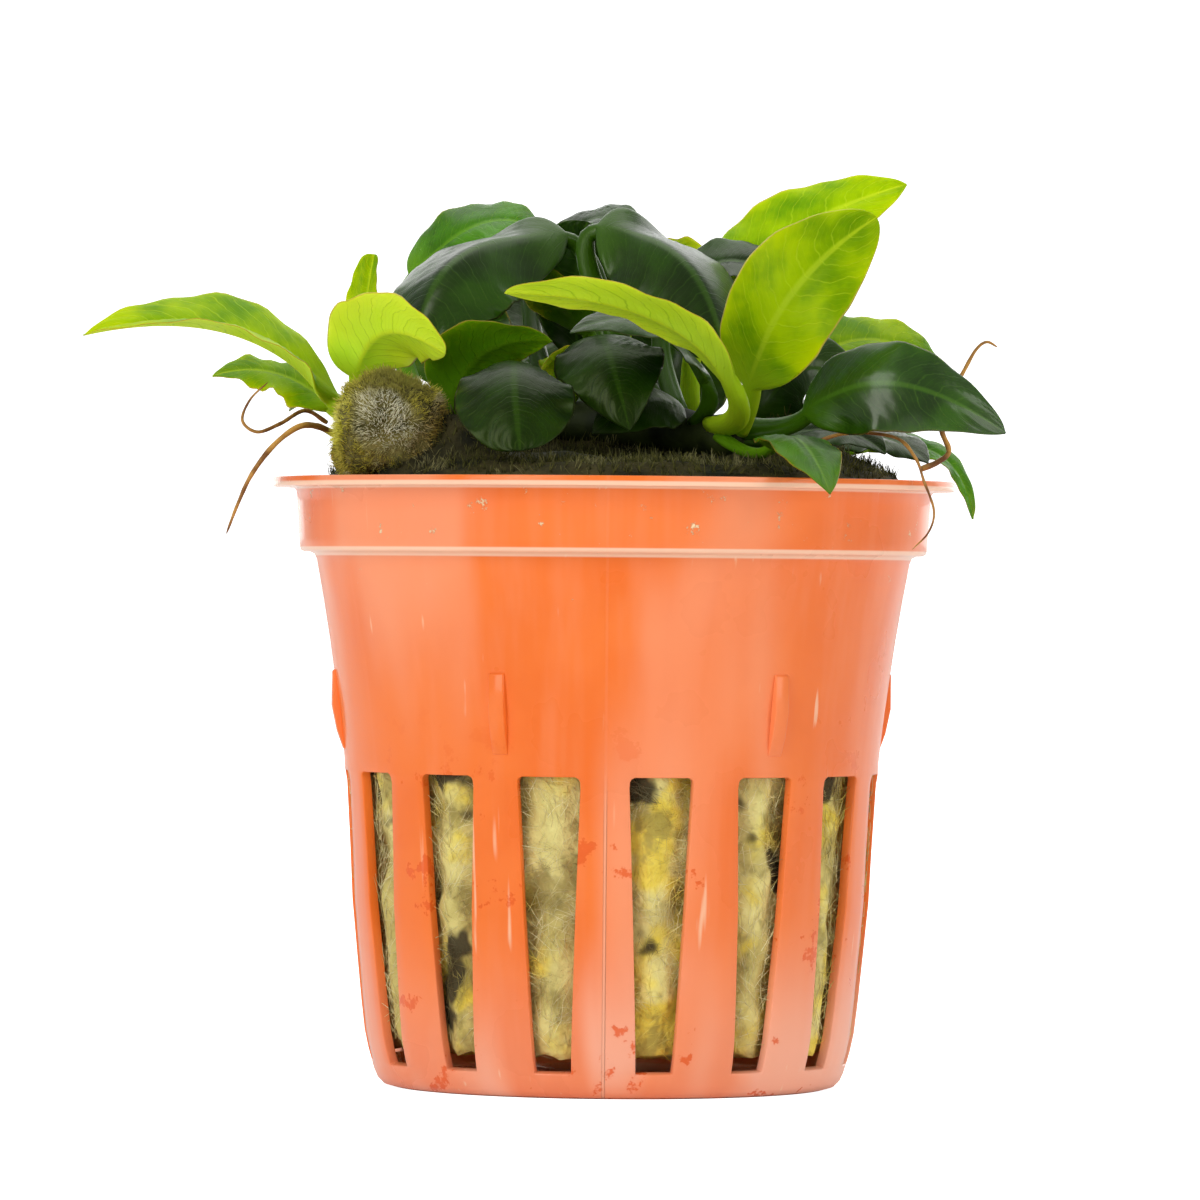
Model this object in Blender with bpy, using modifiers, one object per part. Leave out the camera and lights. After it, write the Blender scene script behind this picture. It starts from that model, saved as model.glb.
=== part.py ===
"""A small anubias grown on a mossy stone, standing in a slotted net pot filled with rock wool.

The frame: +Z is up, the origin is the middle of the pot's foot, -Y is the front of the plant.
All driving sizes are in millimetres and are turned into metres when a mesh is made.
"""

import math

import bmesh
import bpy
import numpy as np
from mathutils import Vector, noise

MM = 0.001

# Net pot: a thin moulded cup with a stepped collar, a flange and a ring of tapering slots.
FLANGE_RADIUS = 27.5
FLANGE_THICKNESS = 0.7
POT_HEIGHT = 49.0
COLLAR_RADIUS = 25.6
COLLAR_FOOT_Z = 43.0
WALL = 0.9
FOOT_RADIUS = 18.3
FLOOR = 1.0
OUTER_WALL = [(18.9, 1.4), (20.0, 5.0), (21.6, 25.5), (22.4, 32.8), (23.9, COLLAR_FOOT_Z)]
SLOTS = 15
SLOT_PHASE = -13.4
SLOT_WIDTHS = [(25.3, 5.1), (16.0, 4.6), (1.9, 2.7)]
FLOOR_SLOTS = 5
FLOOR_SLOT_SPAN = (5.5, 14.5)
FLOOR_SLOT_WIDTH = 2.4
TURN_STEPS = 30
LUGS = 6
LUG_PHASE = -23.8
LUG_WIDTH = 1.3
LUG_PROFILE = [(21.9, 33.8), (22.75, 33.2), (22.75, 30.4), (21.9, 27.2), (21.2, 27.2), (21.2, 33.8)]

# Growing medium and stone.
GAP = 0.35
WOOL_FOOT_Z = 3.0
WOOL_TOP_Z = 46.6
MOSS_RADIUS = 23.7
MOSS_PROFILE = [(0.0, 50.2), (14.0, 50.4), (20.5, 50.2), (23.0, 49.4), (MOSS_RADIUS, 47.9)]
MOSS_FOOT_Z = WOOL_TOP_Z + GAP
STONE_FOOT_Z = MOSS_FOOT_Z
STONE_BODY = ((-8.0, -4.0, 49.0), (13.5, 9.5, 2.3))
STONE_LUMP = ((-17.9, -10.2, 52.4), (3.7, 3.6, 3.9))
STONE_ROUGHNESS = 0.45
CAP_DEPTH = 0.9
CAP_FOOT_Z = 51.2

# Rhizomes: the creeping stems that carry every leaf, as (x, y, z, radius).
RHIZOMES = {
    "rhizome_main": [
        (-20.6, 0.2, 53.4, 1.2),
        (-15.0, 1.0, 53.6, 1.6),
        (-7.0, 1.2, 53.8, 1.7),
        (1.0, -0.8, 53.4, 1.7),
        (6.4, -4.4, 52.8, 1.7),
        (10.0, -8.2, 52.3, 1.4),
    ],
    "rhizome_side_shoot": [
        (3.6, 2.0, 53.0, 1.2),
        (8.0, 5.2, 52.9, 1.5),
        (13.0, 7.4, 52.8, 1.2),
    ],
}

# Roots, thickest where they leave the rhizome, as their route and their radius.
ROOTS = {
    "root_left_hanging": (0.42, [
        (-22.3, -4.4, 52.3), (-23.8, -6.0, 53.0), (-25.3, -7.6, 52.9), (-27.2, -8.6, 51.4),
        (-28.9, -9.0, 49.1), (-30.0, -9.1, 46.7), (-30.9, -9.0, 44.3),
    ]),
    "root_left_curled": (0.3, [
        (-23.2, -2.2, 53.4), (-24.9, -3.8, 54.3), (-26.8, -5.6, 53.2), (-28.6, -6.6, 52.5),
        (-29.8, -6.6, 53.4), (-29.2, -6.4, 55.1), (-27.8, -6.2, 56.5),
    ]),
    "root_left_down": (0.3, [
        (-21.6, -5.0, 52.0), (-22.4, -6.8, 51.4), (-22.5, -7.4, 50.4), (-21.9, -7.6, 49.9),
    ]),
    "root_right_hanging": (0.28, [
        (15.0, -11.2, 51.6), (18.4, -12.0, 52.7), (22.2, -13.2, 52.4), (23.8, -14.2, 50.8),
        (24.5, -14.8, 48.9), (25.3, -14.8, 46.6), (24.9, -14.8, 44.9), (23.6, -15.4, 43.5),
    ]),
    "root_right_rising": (0.36, [
        (24.9, 1.8, 50.1), (26.3, 2.4, 50.7), (27.2, 2.8, 51.6), (26.6, 3.0, 53.4),
        (26.9, 3.2, 55.6), (28.2, 3.2, 57.8), (29.3, 3.2, 59.8), (30.2, 3.2, 60.5), (31.1, 3.2, 60.1),
    ]),
    "root_back_left": (0.36, [
        (-10.0, 3.9, 52.8), (-12.6, 8.6, 52.3), (-15.0, 13.6, 51.3), (-17.3, 17.9, 50.9),
        (-18.9, 21.0, 50.0), (-19.5, 22.6, 47.4), (-19.6, 23.3, 44.0), (-18.9, 23.0, 41.0),
    ]),
    "root_back_right": (0.32, [
        (7.6, 7.6, 52.6), (9.6, 12.0, 51.9), (12.2, 16.4, 51.2), (14.0, 20.2, 51.0),
        (15.4, 24.2, 50.0), (16.0, 25.4, 47.0), (15.0, 26.2, 44.4),
    ]),
}
ROOT_STEPS = 2
ROOT_TIP_SHARE = 0.55

# Leaves. Each midrib runs heel -> crest -> tip; "face" is where the upper side looks, "lift" the rise of
# the left and right half in degrees, "on" the rhizome and the place along it where the stalk stands,
# "ends" the powers that round its heel and its tip, and "tone" its age.
LEAVES = {}
LONGEST_KNEE = 4.0


def leaf(
    name, on, heel, crest, tip, face, width,
    lift=(10, 10), bow=0.12, ends=(0.55, 0.8), stalk=0.6, tone="mature",
):
    """Adds one leaf to the list that the model is made from."""
    LEAVES[name] = dict(
        on=on, heel=heel, crest=crest, tip=tip, face=face, width=width,
        lift=lift, bow=bow, ends=ends, stalk=stalk, tone=tone,
    )


MAIN, SIDE = "rhizome_main", "rhizome_side_shoot"

# Left side of the plant.
leaf("leaf_left_long", (MAIN, 0.02), (-22.6, -2.6, 55.0), (-30.9, -4.5, 60.6), (-42.6, -7.0, 60.2),
     (0.1, -0.36, 1), 10.5, (28, 22), ends=(0.75, 0.95), stalk=0.75, tone="young")
leaf("leaf_left_low", (MAIN, 0.0), (-22.9, 1.0, 54.6), (-27.5, 1.4, 57.4), (-32.6, 0.6, 57.2),
     (0, -0.55, 1), 6.2, (5, 5), 0.15, tone="young")
leaf("leaf_left_small", (MAIN, 0.05), (-22.0, 4.4, 54.6), (-24.3, 6.4, 55.5), (-26.7, 8.2, 54.6),
     (0, -0.3, 1), 4.0, tone="green")
leaf("leaf_upright_young", (MAIN, 0.12), (-20.2, 4.0, 58.0), (-20.3, 4.6, 62.5), (-19.7, 5.0, 67.3),
     (-0.9, -1, 0), 4.0, (30, 30), ends=(0.3, 0.35), tone="young")
leaf("leaf_front_left_cupped", (MAIN, 0.15), (-20.8, -3.8, 57.2), (-18.4, -9.0, 60.6), (-13.4, -12.6, 58.8),
     (0.1, 0.6, 1), 8.6, (0, 30), 0.15, (0.5, 0.6), tone="young")
leaf("leaf_front_left_green", (MAIN, 0.25), (-13.2, -3.8, 54.8), (-10.4, -6.6, 59.2), (-5.0, -8.4, 60.0),
     (0.4, 0.7, 1), 7.4, (10, 0), tone="green")

# The dark mature leaves that arch over the middle.
leaf("leaf_top_left_dark", (MAIN, 0.57), (-4.2, 1.6, 68.5), (-12.4, -3.6, 67.0), (-15.8, -6.6, 60.2),
     (0, -1, 0.8), 12.4, (-5, -42), 0.1, (0.5, 0.42), stalk=0.7)
leaf("leaf_top_left_back", (MAIN, 0.18), (-16.6, 8.0, 65.4), (-11.4, 7.6, 69.8), (-6.1, 6.2, 69.5),
     (0, -0.7, 1), 7.6, (5, 5), tone="green")
leaf("leaf_top_middle_back", (MAIN, 0.45), (-6.0, 12.6, 67.0), (-1.3, 11.4, 70.7), (3.0, 9.6, 68.4),
     (0, -0.5, 1), 6.0, (5, 5))
leaf("leaf_top_middle_wet", (MAIN, 0.69), (-1.4, -2.6, 69.0), (5.4, -6.0, 66.6), (8.8, -9.0, 58.6),
     (0, -1, 0.8), 12.2, (-42, -5), 0.1, (0.45, 0.45), stalk=0.7)
leaf("leaf_top_right_dark", (MAIN, 0.73), (5.0, 4.8, 64.6), (9.8, 3.6, 66.9), (14.6, 2.2, 64.0),
     (0, -0.7, 1), 6.4)
leaf("leaf_inner_left", (MAIN, 0.52), (-2.2, 4.6, 61.0), (-6.6, 1.6, 64.8), (-11.4, -0.8, 62.6),
     (0.1, 0.5, 1), 6.4, (5, 5), tone="green")
leaf("leaf_inner_low", (MAIN, 0.34), (-8.6, 2.6, 57.0), (-11.8, 1.6, 60.6), (-15.2, 0.4, 59.8),
     (0.1, -0.4, 1), 4.8)
leaf("leaf_inner_bright", (MAIN, 0.44), (-3.4, -0.6, 56.4), (-4.4, -2.6, 58.8), (-6.0, -4.4, 57.6),
     (0, 0.6, 1), 4.4, tone="young")

# The low dark leaves at the front.
leaf("leaf_front_dark", (MAIN, 0.40), (-7.8, -10.0, 57.6), (-8.0, -16.2, 57.0), (-7.4, -20.4, 51.0),
     (0, -1, 0.7), 9.8, (-12, -12), 0.1, (0.75, 0.45))
leaf("leaf_front_hanging", (MAIN, 0.58), (-1.0, -6.2, 60.0), (-0.4, -11.2, 58.6), (1.2, -13.8, 52.8),
     (0, -1, 0.5), 9.0, (-8, -8))
leaf("leaf_front_black", (MAIN, 0.74), (4.6, -4.8, 55.0), (2.4, -8.2, 55.4), (-1.8, -9.8, 52.6),
     (0, -1, 0.9), 6.6, (-5, -5))
leaf("leaf_front_band", (MAIN, 0.83), (7.2, -10.0, 56.8), (2.6, -14.4, 61.2), (-3.6, -17.8, 60.4),
     (0, -0.5, 1), 6.0, (0, 0))

# The bright young leaves on the right-hand crown.
leaf("leaf_bright_arching", (MAIN, 0.92), (9.4, -15.4, 56.0), (3.0, -20.8, 61.5), (-8.7, -23.6, 63.3),
     (0.3, 0.5, 1), 5.5, (20, 10), ends=(0.85, 0.6), stalk=0.8, tone="young")
leaf("leaf_bright_large", (MAIN, 1.0), (10.9, -12.0, 56.4), (13.9, -15.8, 63.6), (20.6, -14.4, 69.8),
     (-0.3, -1, 0.1), 9.4, (8, 8), ends=(0.5, 0.6), stalk=0.8, tone="young")
leaf("leaf_bright_back", (SIDE, 0.30), (8.8, 6.6, 65.6), (15.6, 7.4, 70.2), (23.8, 8.6, 73.6),
     (-0.5, -1, 0.5), 8.4, (5, 5), ends=(0.42, 0.75), tone="young")

# The right side.
leaf("leaf_right_back", (SIDE, 0.75), (15.8, 3.6, 58.8), (21.5, 6.0, 60.6), (27.2, 8.0, 57.6),
     (0, -0.6, 1), 8.4, (10, 10), ends=(0.5, 0.5), tone="young")
leaf("leaf_right_large", (MAIN, 0.97), (15.4, -10.6, 54.2), (22.0, -15.3, 56.6), (31.0, -14.0, 52.8),
     (0, -1, 0.5), 7.8, (5, -12), ends=(0.5, 0.75), stalk=0.7)
leaf("leaf_right_inner", (SIDE, 0.55), (11.8, 0.6, 54.2), (15.2, -1.6, 58.0), (19.0, -3.0, 56.4),
     (0, -1, 0.6), 7.4)
leaf("leaf_right_over_rim", (MAIN, 0.96), (12.6, -16.2, 51.6), (14.6, -22.0, 51.8), (16.7, -28.6, 47.8),
     (0.1, -0.3, 1), 6.2, (0, 5), stalk=0.5, tone="green")
leaf("leaf_right_under", (MAIN, 0.88), (13.6, -5.0, 52.4), (18.0, -7.2, 53.0), (21.6, -9.8, 51.2),
     (0, -0.8, 1), 4.4, stalk=0.5)
leaf("leaf_right_low_grey", (SIDE, 0.95), (17.4, 2.0, 52.2), (21.6, -1.4, 52.6), (25.2, -5.2, 50.6),
     (0, -0.5, 1), 5.2, (0, 0), stalk=0.5)
leaf("leaf_right_past_rim", (SIDE, 1.0), (20.6, 11.6, 52.0), (27.0, 14.8, 51.4), (29.9, 16.4, 46.2),
     (0.3, -0.6, 1), 4.0, stalk=0.5, tone="green")

# The far side, which follows the same habit.
leaf("leaf_back_left", (MAIN, 0.25), (-12.8, 9.4, 56.4), (-13.2, 13.4, 61.4), (-14.8, 15.6, 66.0),
     (-0.1, -1, 0.3), 9.6, (10, 10), tone="green")
leaf("leaf_back_middle", (MAIN, 0.38), (-7.4, 11.4, 58.4), (-7.6, 16.6, 63.4), (-8.2, 18.6, 67.0),
     (0, -1, 0.3), 9.2, (8, 8))
leaf("leaf_back_upright", (MAIN, 0.50), (-2.9, 7.6, 58.4), (-3.2, 7.9, 64.6), (-2.4, 7.2, 70.2),
     (0, -1, 0.3), 8.0, (6, 6), ends=(0.8, 0.5))
leaf("leaf_back_right", (SIDE, 0.50), (13.0, 11.2, 57.2), (15.8, 16.8, 61.4), (19.6, 22.8, 58.6),
     (0.2, 0.5, 1), 8.6, (10, 10))
leaf("leaf_back_low", (MAIN, 0.60), (3.6, 11.0, 53.4), (4.4, 14.4, 58.4), (5.6, 15.0, 63.6),
     (0, -1, 0.3), 10.8, (6, 6), ends=(0.4, 0.45))
leaf("leaf_back_bright", (SIDE, 0.08), (0.8, 9.2, 60.8), (3.2, 13.4, 67.2), (8.4, 15.4, 66.6),
     (-0.2, 0.5, 1), 6.4, (15, 15), tone="young")

STALK_STATIONS = (0.0, 0.5)
BLADE_STATIONS = (0.0, 0.08, 0.22, 0.42, 0.64, 0.84, 1.0)
SECTION_ACROSS = (-1.0, -0.5, 0.0, 0.5, 1.0, 0.5, 0.0, -0.5)
SECTION_SIDE = (0, 1, 1, 1, 0, -1, -1, -1)
BLADE_HALF_THICKNESS = 0.22
TIP_HALF_WIDTH = 0.22

COLOURS = {
    "terracotta_plastic": ((0.86, 0.26, 0.10, 1), 0.35),
    "rock_wool": ((0.50, 0.42, 0.16, 1), 0.95),
    "moss": ((0.10, 0.11, 0.03, 1), 0.95),
    "stone": ((0.16, 0.15, 0.12, 1), 0.85),
    "rhizome": ((0.12, 0.20, 0.03, 1), 0.6),
    "root": ((0.42, 0.22, 0.06, 1), 0.6),
    "leaf_mature": ((0.02, 0.08, 0.015, 1), 0.25),
    "leaf_green": ((0.06, 0.20, 0.02, 1), 0.3),
    "leaf_young": ((0.28, 0.45, 0.03, 1), 0.35),
}


def clear_scene():
    """Empties the scene and makes one collection for the plant and one for the cutters."""
    for obj in list(bpy.data.objects):
        bpy.data.objects.remove(obj)
    made = []
    for name in ("anubias_on_stone", "cutters"):
        collection = bpy.data.collections.new(name)
        bpy.context.scene.collection.children.link(collection)
        made.append(collection)
    return made


def material(name):
    """A Principled material with the part's colour and roughness, made once."""
    found = bpy.data.materials.get(name)
    if found:
        return found
    colour, roughness = COLOURS[name]
    made = bpy.data.materials.new(name)
    made.use_nodes = True
    shader = made.node_tree.nodes["Principled BSDF"]
    shader.inputs["Base Color"].default_value = colour
    shader.inputs["Roughness"].default_value = roughness
    shader.inputs["Metallic"].default_value = 0.0
    return made


def add_object(name, data, collection, finish=None):
    """Links a new object that holds data, with its finish, into a collection."""
    obj = bpy.data.objects.new(name, data)
    collection.objects.link(obj)
    if finish:
        data.materials.append(material(finish))
    return obj


def mesh_from(name, points, faces):
    """A mesh from points in millimetres and their faces, facing outwards."""
    mesh = bpy.data.meshes.new(name)
    mesh.from_pydata((np.asarray(points) * MM).tolist(), [], faces)
    work = bmesh.new()
    work.from_mesh(mesh)
    bmesh.ops.recalc_face_normals(work, faces=work.faces)
    work.to_mesh(mesh)
    work.free()
    return mesh


def make_cutter(obj):
    """Marks an object as a helper that is not part of the model."""
    obj.hide_render = True
    obj.display_type = "WIRE"


def turned(name, profile, collection, finish, steps, closed):
    """A profile of (radius, height) points at +X, turned round Z with a Screw modifier."""
    mesh = bpy.data.meshes.new(name)
    points = [(radius * MM, 0.0, height * MM) for radius, height in profile]
    edges = [(i, i + 1) for i in range(len(points) - 1)]
    if closed:
        edges.append((len(points) - 1, 0))
    mesh.from_pydata(points, edges, [])
    obj = add_object(name, mesh, collection, finish)
    screw = obj.modifiers.new("turn", "SCREW")
    screw.steps = steps
    screw.render_steps = steps
    screw.use_merge_vertices = True
    screw.merge_threshold = 0.00001
    screw.use_smooth_shade = True
    return obj


def wedge_on_wall(name, levels, half_angles, radii, collection):
    """A closed block between two radii, whose angular width changes from level to level."""
    points = []
    for height, half in zip(levels, half_angles):
        for radius in radii:
            for side in (-half, half):
                points.append((radius * math.sin(side), -radius * math.cos(side), height))
    faces = [(0, 1, 3, 2)]
    for level in range(len(levels) - 1):
        low, high = 4 * level, 4 * level + 4
        for a, b in ((0, 1), (1, 3), (3, 2), (2, 0)):
            faces.append((low + a, low + b, high + b, high + a))
    last = 4 * (len(levels) - 1)
    faces.append((last, last + 1, last + 3, last + 2))
    return add_object(name, mesh_from(name, points, faces), collection)


def add_boolean(obj, operation, other):
    """Adds an exact Boolean with another object."""
    modifier = obj.modifiers.new(operation.lower(), "BOOLEAN")
    modifier.operation = operation
    modifier.solver = "EXACT"
    modifier.object = other


def joined(name, objects, collection):
    """One object that holds the meshes of several, each at its place."""
    work = bmesh.new()
    for obj in objects:
        copy = obj.data.copy()
        copy.transform(obj.matrix_basis)
        work.from_mesh(copy)
        bpy.data.meshes.remove(copy)
        bpy.data.objects.remove(obj)
    mesh = bpy.data.meshes.new(name)
    work.to_mesh(mesh)
    work.free()
    made = add_object(name, mesh, collection)
    make_cutter(made)
    return made


def inner_wall_radius(height):
    """Inner radius of the pot's tapering wall at a height."""
    radii, heights = zip(*OUTER_WALL)
    return float(np.interp(height, heights, radii)) - WALL


def make_slot_cutter(collection):
    """All wall slots and floor slots in one cutter mesh."""
    blocks = []
    for i in range(SLOTS):
        half_angles = [width / 2 / (inner_wall_radius(z) + WALL) for z, width in SLOT_WIDTHS]
        levels = [z for z, _ in SLOT_WIDTHS]
        block = wedge_on_wall("slot", levels, half_angles, (17.0, 26.0), collection)
        block.rotation_euler.z = math.radians(SLOT_PHASE + 360 / SLOTS * i)
        blocks.append(block)
    inner, outer = FLOOR_SLOT_SPAN
    for i in range(FLOOR_SLOTS):
        bpy.ops.mesh.primitive_cube_add(size=1)
        block = bpy.context.object
        block.scale = (FLOOR_SLOT_WIDTH * MM, (outer - inner) * MM, 4 * FLOOR * MM)
        block.location = (0, -(inner + outer) / 2 * MM, 0)
        block.data.transform(block.matrix_basis)
        block.matrix_basis.identity()
        block.rotation_euler.z = math.radians(360 / FLOOR_SLOTS * i)
        blocks.append(block)
    return joined("slot_cutter", blocks, collection)


def make_lugs(collection):
    """The small vertical lugs that keep stacked pots apart, as one mesh to add to the wall."""
    lugs = []
    count = len(LUG_PROFILE)
    for i in range(LUGS):
        points = []
        for side in (-LUG_WIDTH / 2, LUG_WIDTH / 2):
            points += [(side, -radius, height) for radius, height in LUG_PROFILE]
        faces = [tuple(range(count)), tuple(range(2 * count - 1, count - 1, -1))]
        faces += [(k, (k + 1) % count, count + (k + 1) % count, count + k) for k in range(count)]
        lug = add_object("lug", mesh_from("lug", points, faces), collection)
        lug.rotation_euler.z = math.radians(LUG_PHASE + 360 / LUGS * i)
        lugs.append(lug)
    return joined("lug_block", lugs, collection)


def make_pot(collection, cutters):
    """The turned cup, with its lugs added and its slots cut."""
    outer = [(radius, height) for radius, height in reversed(OUTER_WALL)]
    inner = [(radius - WALL, height) for radius, height in OUTER_WALL[1:-1]]
    neck = OUTER_WALL[-1][0] - WALL
    collar_inner = COLLAR_RADIUS - WALL - 0.2
    profile = [
        (collar_inner, POT_HEIGHT),
        (FLANGE_RADIUS, POT_HEIGHT),
        (FLANGE_RADIUS, POT_HEIGHT - FLANGE_THICKNESS),
        (COLLAR_RADIUS, POT_HEIGHT - FLANGE_THICKNESS - 0.1),
        (COLLAR_RADIUS - 0.2, COLLAR_FOOT_Z),
        *outer,
        (FOOT_RADIUS, 0.0),
        (0.0, 0.0),
        (0.0, FLOOR),
        (FOOT_RADIUS - WALL, FLOOR),
        *inner,
        (neck, COLLAR_FOOT_Z + WALL),
        (collar_inner - 0.1, COLLAR_FOOT_Z + WALL),
    ]
    pot = turned("net_pot", profile, collection, "terracotta_plastic", TURN_STEPS, closed=True)
    add_boolean(pot, "UNION", make_lugs(cutters))
    add_boolean(pot, "DIFFERENCE", make_slot_cutter(cutters))


def make_rock_wool(collection):
    """The plug of rock wool, which hangs in the taper of the pot."""
    heights = (WOOL_TOP_Z, 43.4, 33.0, 25.0, 12.0, 5.0)
    sides = [(inner_wall_radius(z) - GAP, z) for z in heights]
    foot = (inner_wall_radius(WOOL_FOOT_Z) - 1.2, WOOL_FOOT_Z)
    profile = [(0.0, WOOL_TOP_Z), *sides, foot, (0.0, WOOL_FOOT_Z)]
    turned("rock_wool_plug", profile, collection, "rock_wool", 30, closed=False)


def rough_ball(name, centre, radii, roughness, seed, collection, subdivisions=2):
    """An ellipsoid whose surface is pushed in and out by smooth noise."""
    work = bmesh.new()
    bmesh.ops.create_icosphere(work, subdivisions=subdivisions, radius=1.0)
    for vertex in work.verts:
        bump = noise.noise(vertex.co * 1.7 + Vector((seed, 2 * seed, 0)))
        place = Vector([c + r * x for c, r, x in zip(centre, radii, vertex.co)])
        vertex.co = (place + vertex.normal * bump * roughness) * MM
    mesh = bpy.data.meshes.new(name)
    work.to_mesh(mesh)
    work.free()
    return add_object(name, mesh, collection)


def applied(obj, name, collection, finish=None):
    """A new plain mesh object from another's evaluated shape, which is then removed."""
    bpy.context.view_layer.update()
    graph = bpy.context.evaluated_depsgraph_get()
    mesh = bpy.data.meshes.new_from_object(obj.evaluated_get(graph))
    mesh.name = name
    bpy.data.objects.remove(obj)
    mesh.materials.clear()
    return add_object(name, mesh, collection, finish)


def cut_below(obj, height, keep_open=False):
    """Removes what lies below a height and, unless kept open, closes the cut with a flat face."""
    work = bmesh.new()
    work.from_mesh(obj.data)
    cut = bmesh.ops.bisect_plane(
        work, geom=[*work.verts, *work.edges, *work.faces],
        plane_co=(0, 0, height * MM), plane_no=(0, 0, 1), clear_inner=True,
    )
    if not keep_open:
        rim = [part for part in cut["geom_cut"] if isinstance(part, bmesh.types.BMEdge)]
        bmesh.ops.edgeloop_fill(work, edges=rim)
        bmesh.ops.recalc_face_normals(work, faces=work.faces)
    work.to_mesh(obj.data)
    work.free()


def stone_lump(name, growth, collection):
    """The lump at the stone's left front, grown outwards by a distance."""
    centre, radii = STONE_LUMP
    return rough_ball(name, centre, [r + growth for r in radii], STONE_ROUGHNESS, 7.0, collection)


def stone_shape(name, growth, collection):
    """The whole stone, grown outwards by a distance: a low body joined to its lump."""
    centre, radii = STONE_BODY
    body = rough_ball("body", centre, [r + growth for r in radii], STONE_ROUGHNESS, 3.0, collection)
    lump = stone_lump("lump", growth, collection)
    add_boolean(body, "UNION", lump)
    stone = applied(body, name, collection)
    bpy.data.objects.remove(lump)
    return stone


def make_stone(collection, cutters):
    """The stone, cut flat where it rests on the wool, its cap of moss and the moss bed around it."""
    stone = stone_shape("stone_raw", 0.0, cutters)
    cut_below(stone, STONE_FOOT_Z)
    applied(stone, "stone", collection, "stone")

    cap = stone_lump("cap_raw", GAP, cutters)
    cut_below(cap, CAP_FOOT_Z, keep_open=True)
    thicken = cap.modifiers.new("thickness", "SOLIDIFY")
    thicken.thickness = CAP_DEPTH * MM
    thicken.offset = 1.0
    applied(cap, "moss_cap", collection, "moss")

    socket = stone_shape("stone_socket", GAP, cutters)
    make_cutter(socket)
    profile = [*MOSS_PROFILE, (MOSS_RADIUS, MOSS_FOOT_Z), (0.0, MOSS_FOOT_Z)]
    bed = turned("moss_bed_raw", profile, cutters, "moss", 24, closed=False)
    add_boolean(bed, "DIFFERENCE", socket)
    applied(bed, "moss_bed", collection, "moss")


def smooth_route(points, steps):
    """Points on a smooth curve through the given ones: each span is a cubic whose end slopes are
    half the step between its neighbours."""
    points = np.asarray(points, float)
    ends = np.vstack([2 * points[0] - points[1], points, 2 * points[-1] - points[-2]])
    found = []
    for i in range(1, len(ends) - 2):
        a, b, c, d = ends[i - 1 : i + 3]
        for t in np.arange(steps) / steps:
            found.append(0.5 * (2 * b + (c - a) * t + (2 * a - 5 * b + 4 * c - d) * t**2
                                + (3 * b - 3 * c + d - a) * t**3))
    found.append(points[-1])
    return np.array(found)


def add_tube(name, route, radii, collection, finish, sides_level):
    """A poly curve with a round bevel and filled caps, as thick at each point as the radii say."""
    curve = bpy.data.curves.new(name, "CURVE")
    curve.dimensions = "3D"
    curve.bevel_depth = MM
    curve.bevel_resolution = sides_level
    curve.use_fill_caps = True
    spline = curve.splines.new("POLY")
    spline.points.add(len(route) - 1)
    for point, place, radius in zip(spline.points, route, radii):
        point.co = (*(place * MM), 1.0)
        point.radius = radius
    add_object(name, curve, collection, finish)


def make_rhizomes(collection):
    """The creeping stems."""
    for name, stations in RHIZOMES.items():
        route = smooth_route(stations, 3)
        add_tube(name, route[:, :3], route[:, 3], collection, "rhizome", 2)


def make_roots(collection):
    """The free roots, thinner towards their tips."""
    for name, (radius, stations) in ROOTS.items():
        route = smooth_route(stations, ROOT_STEPS)
        radii = radius * np.linspace(1.0, ROOT_TIP_SHARE, len(route))
        add_tube(name, route, radii, collection, "root", 1)


def unit(rows):
    """Each row at length one."""
    return rows / np.linalg.norm(rows, axis=-1, keepdims=True)


def stalk_foot(on, heel, stalk):
    """Where a leaf's stalk stands: just clear of the rhizome, on the side that faces the heel."""
    stem, share = on
    route = smooth_route(RHIZOMES[stem], 8)
    at = share * (len(route) - 1)
    low = min(int(at), len(route) - 2)
    axis = unit(route[low + 1, :3] - route[low, :3])
    place = route[low] + (at - low) * (route[low + 1] - route[low])
    away = np.asarray(heel) - place[:3]
    away = unit(away - (away @ axis) * axis)
    return place[:3] + away * (place[3] + 2 * GAP)


def leaf_frames(spec, stalk_shares, blade_shares):
    """Stations along a leaf: its middle line, the directions across and up, and the half width.

    The blade's midrib is the parabola through heel, crest and tip. The stalk is a parabola from the
    rhizome that meets the midrib without a kink. The half width is t^a (1 - t)^b, scaled to the width.
    """
    heel, crest, tip = (np.asarray(spec[key], float) for key in ("heel", "crest", "tip"))
    control = 2 * crest - (heel + tip) / 2
    t = np.asarray(blade_shares, float)[:, None]
    blade = (1 - t) ** 2 * heel + 2 * t * (1 - t) * control + t**2 * tip
    blade_along = unit((1 - t) * (control - heel) + t * (tip - control))

    foot = stalk_foot(spec["on"], heel, spec["stalk"])
    reach = np.linalg.norm(heel - foot)
    knee = heel - unit(control - heel) * min(reach * 0.45, LONGEST_KNEE)
    s = np.asarray(stalk_shares, float)[:, None]
    stalk = (1 - s) ** 2 * foot + 2 * s * (1 - s) * knee + s**2 * heel
    stalk_along = unit((1 - s) * (knee - foot) + s * (heel - knee))

    middle = np.vstack([stalk, blade])
    along = np.vstack([stalk_along, blade_along])
    across = np.cross(along, np.asarray(spec["face"], float))
    across = unit(across)
    up = np.cross(across, along)

    a, b = spec["ends"]
    widest = a / (a + b)
    share = (t**a * (1 - t) ** b)[:, 0] / (widest**a * (1 - widest) ** b)
    half = np.maximum(spec["width"] / 2 * share, np.linspace(spec["stalk"], TIP_HALF_WIDTH, len(t)))
    half = np.concatenate([np.full(len(s), spec["stalk"]), half])
    is_blade = np.concatenate([np.zeros(len(s)), np.clip(t[:, 0] / BLADE_STATIONS[2], 0, 1)])
    return middle, along, across, up, half, is_blade


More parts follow.
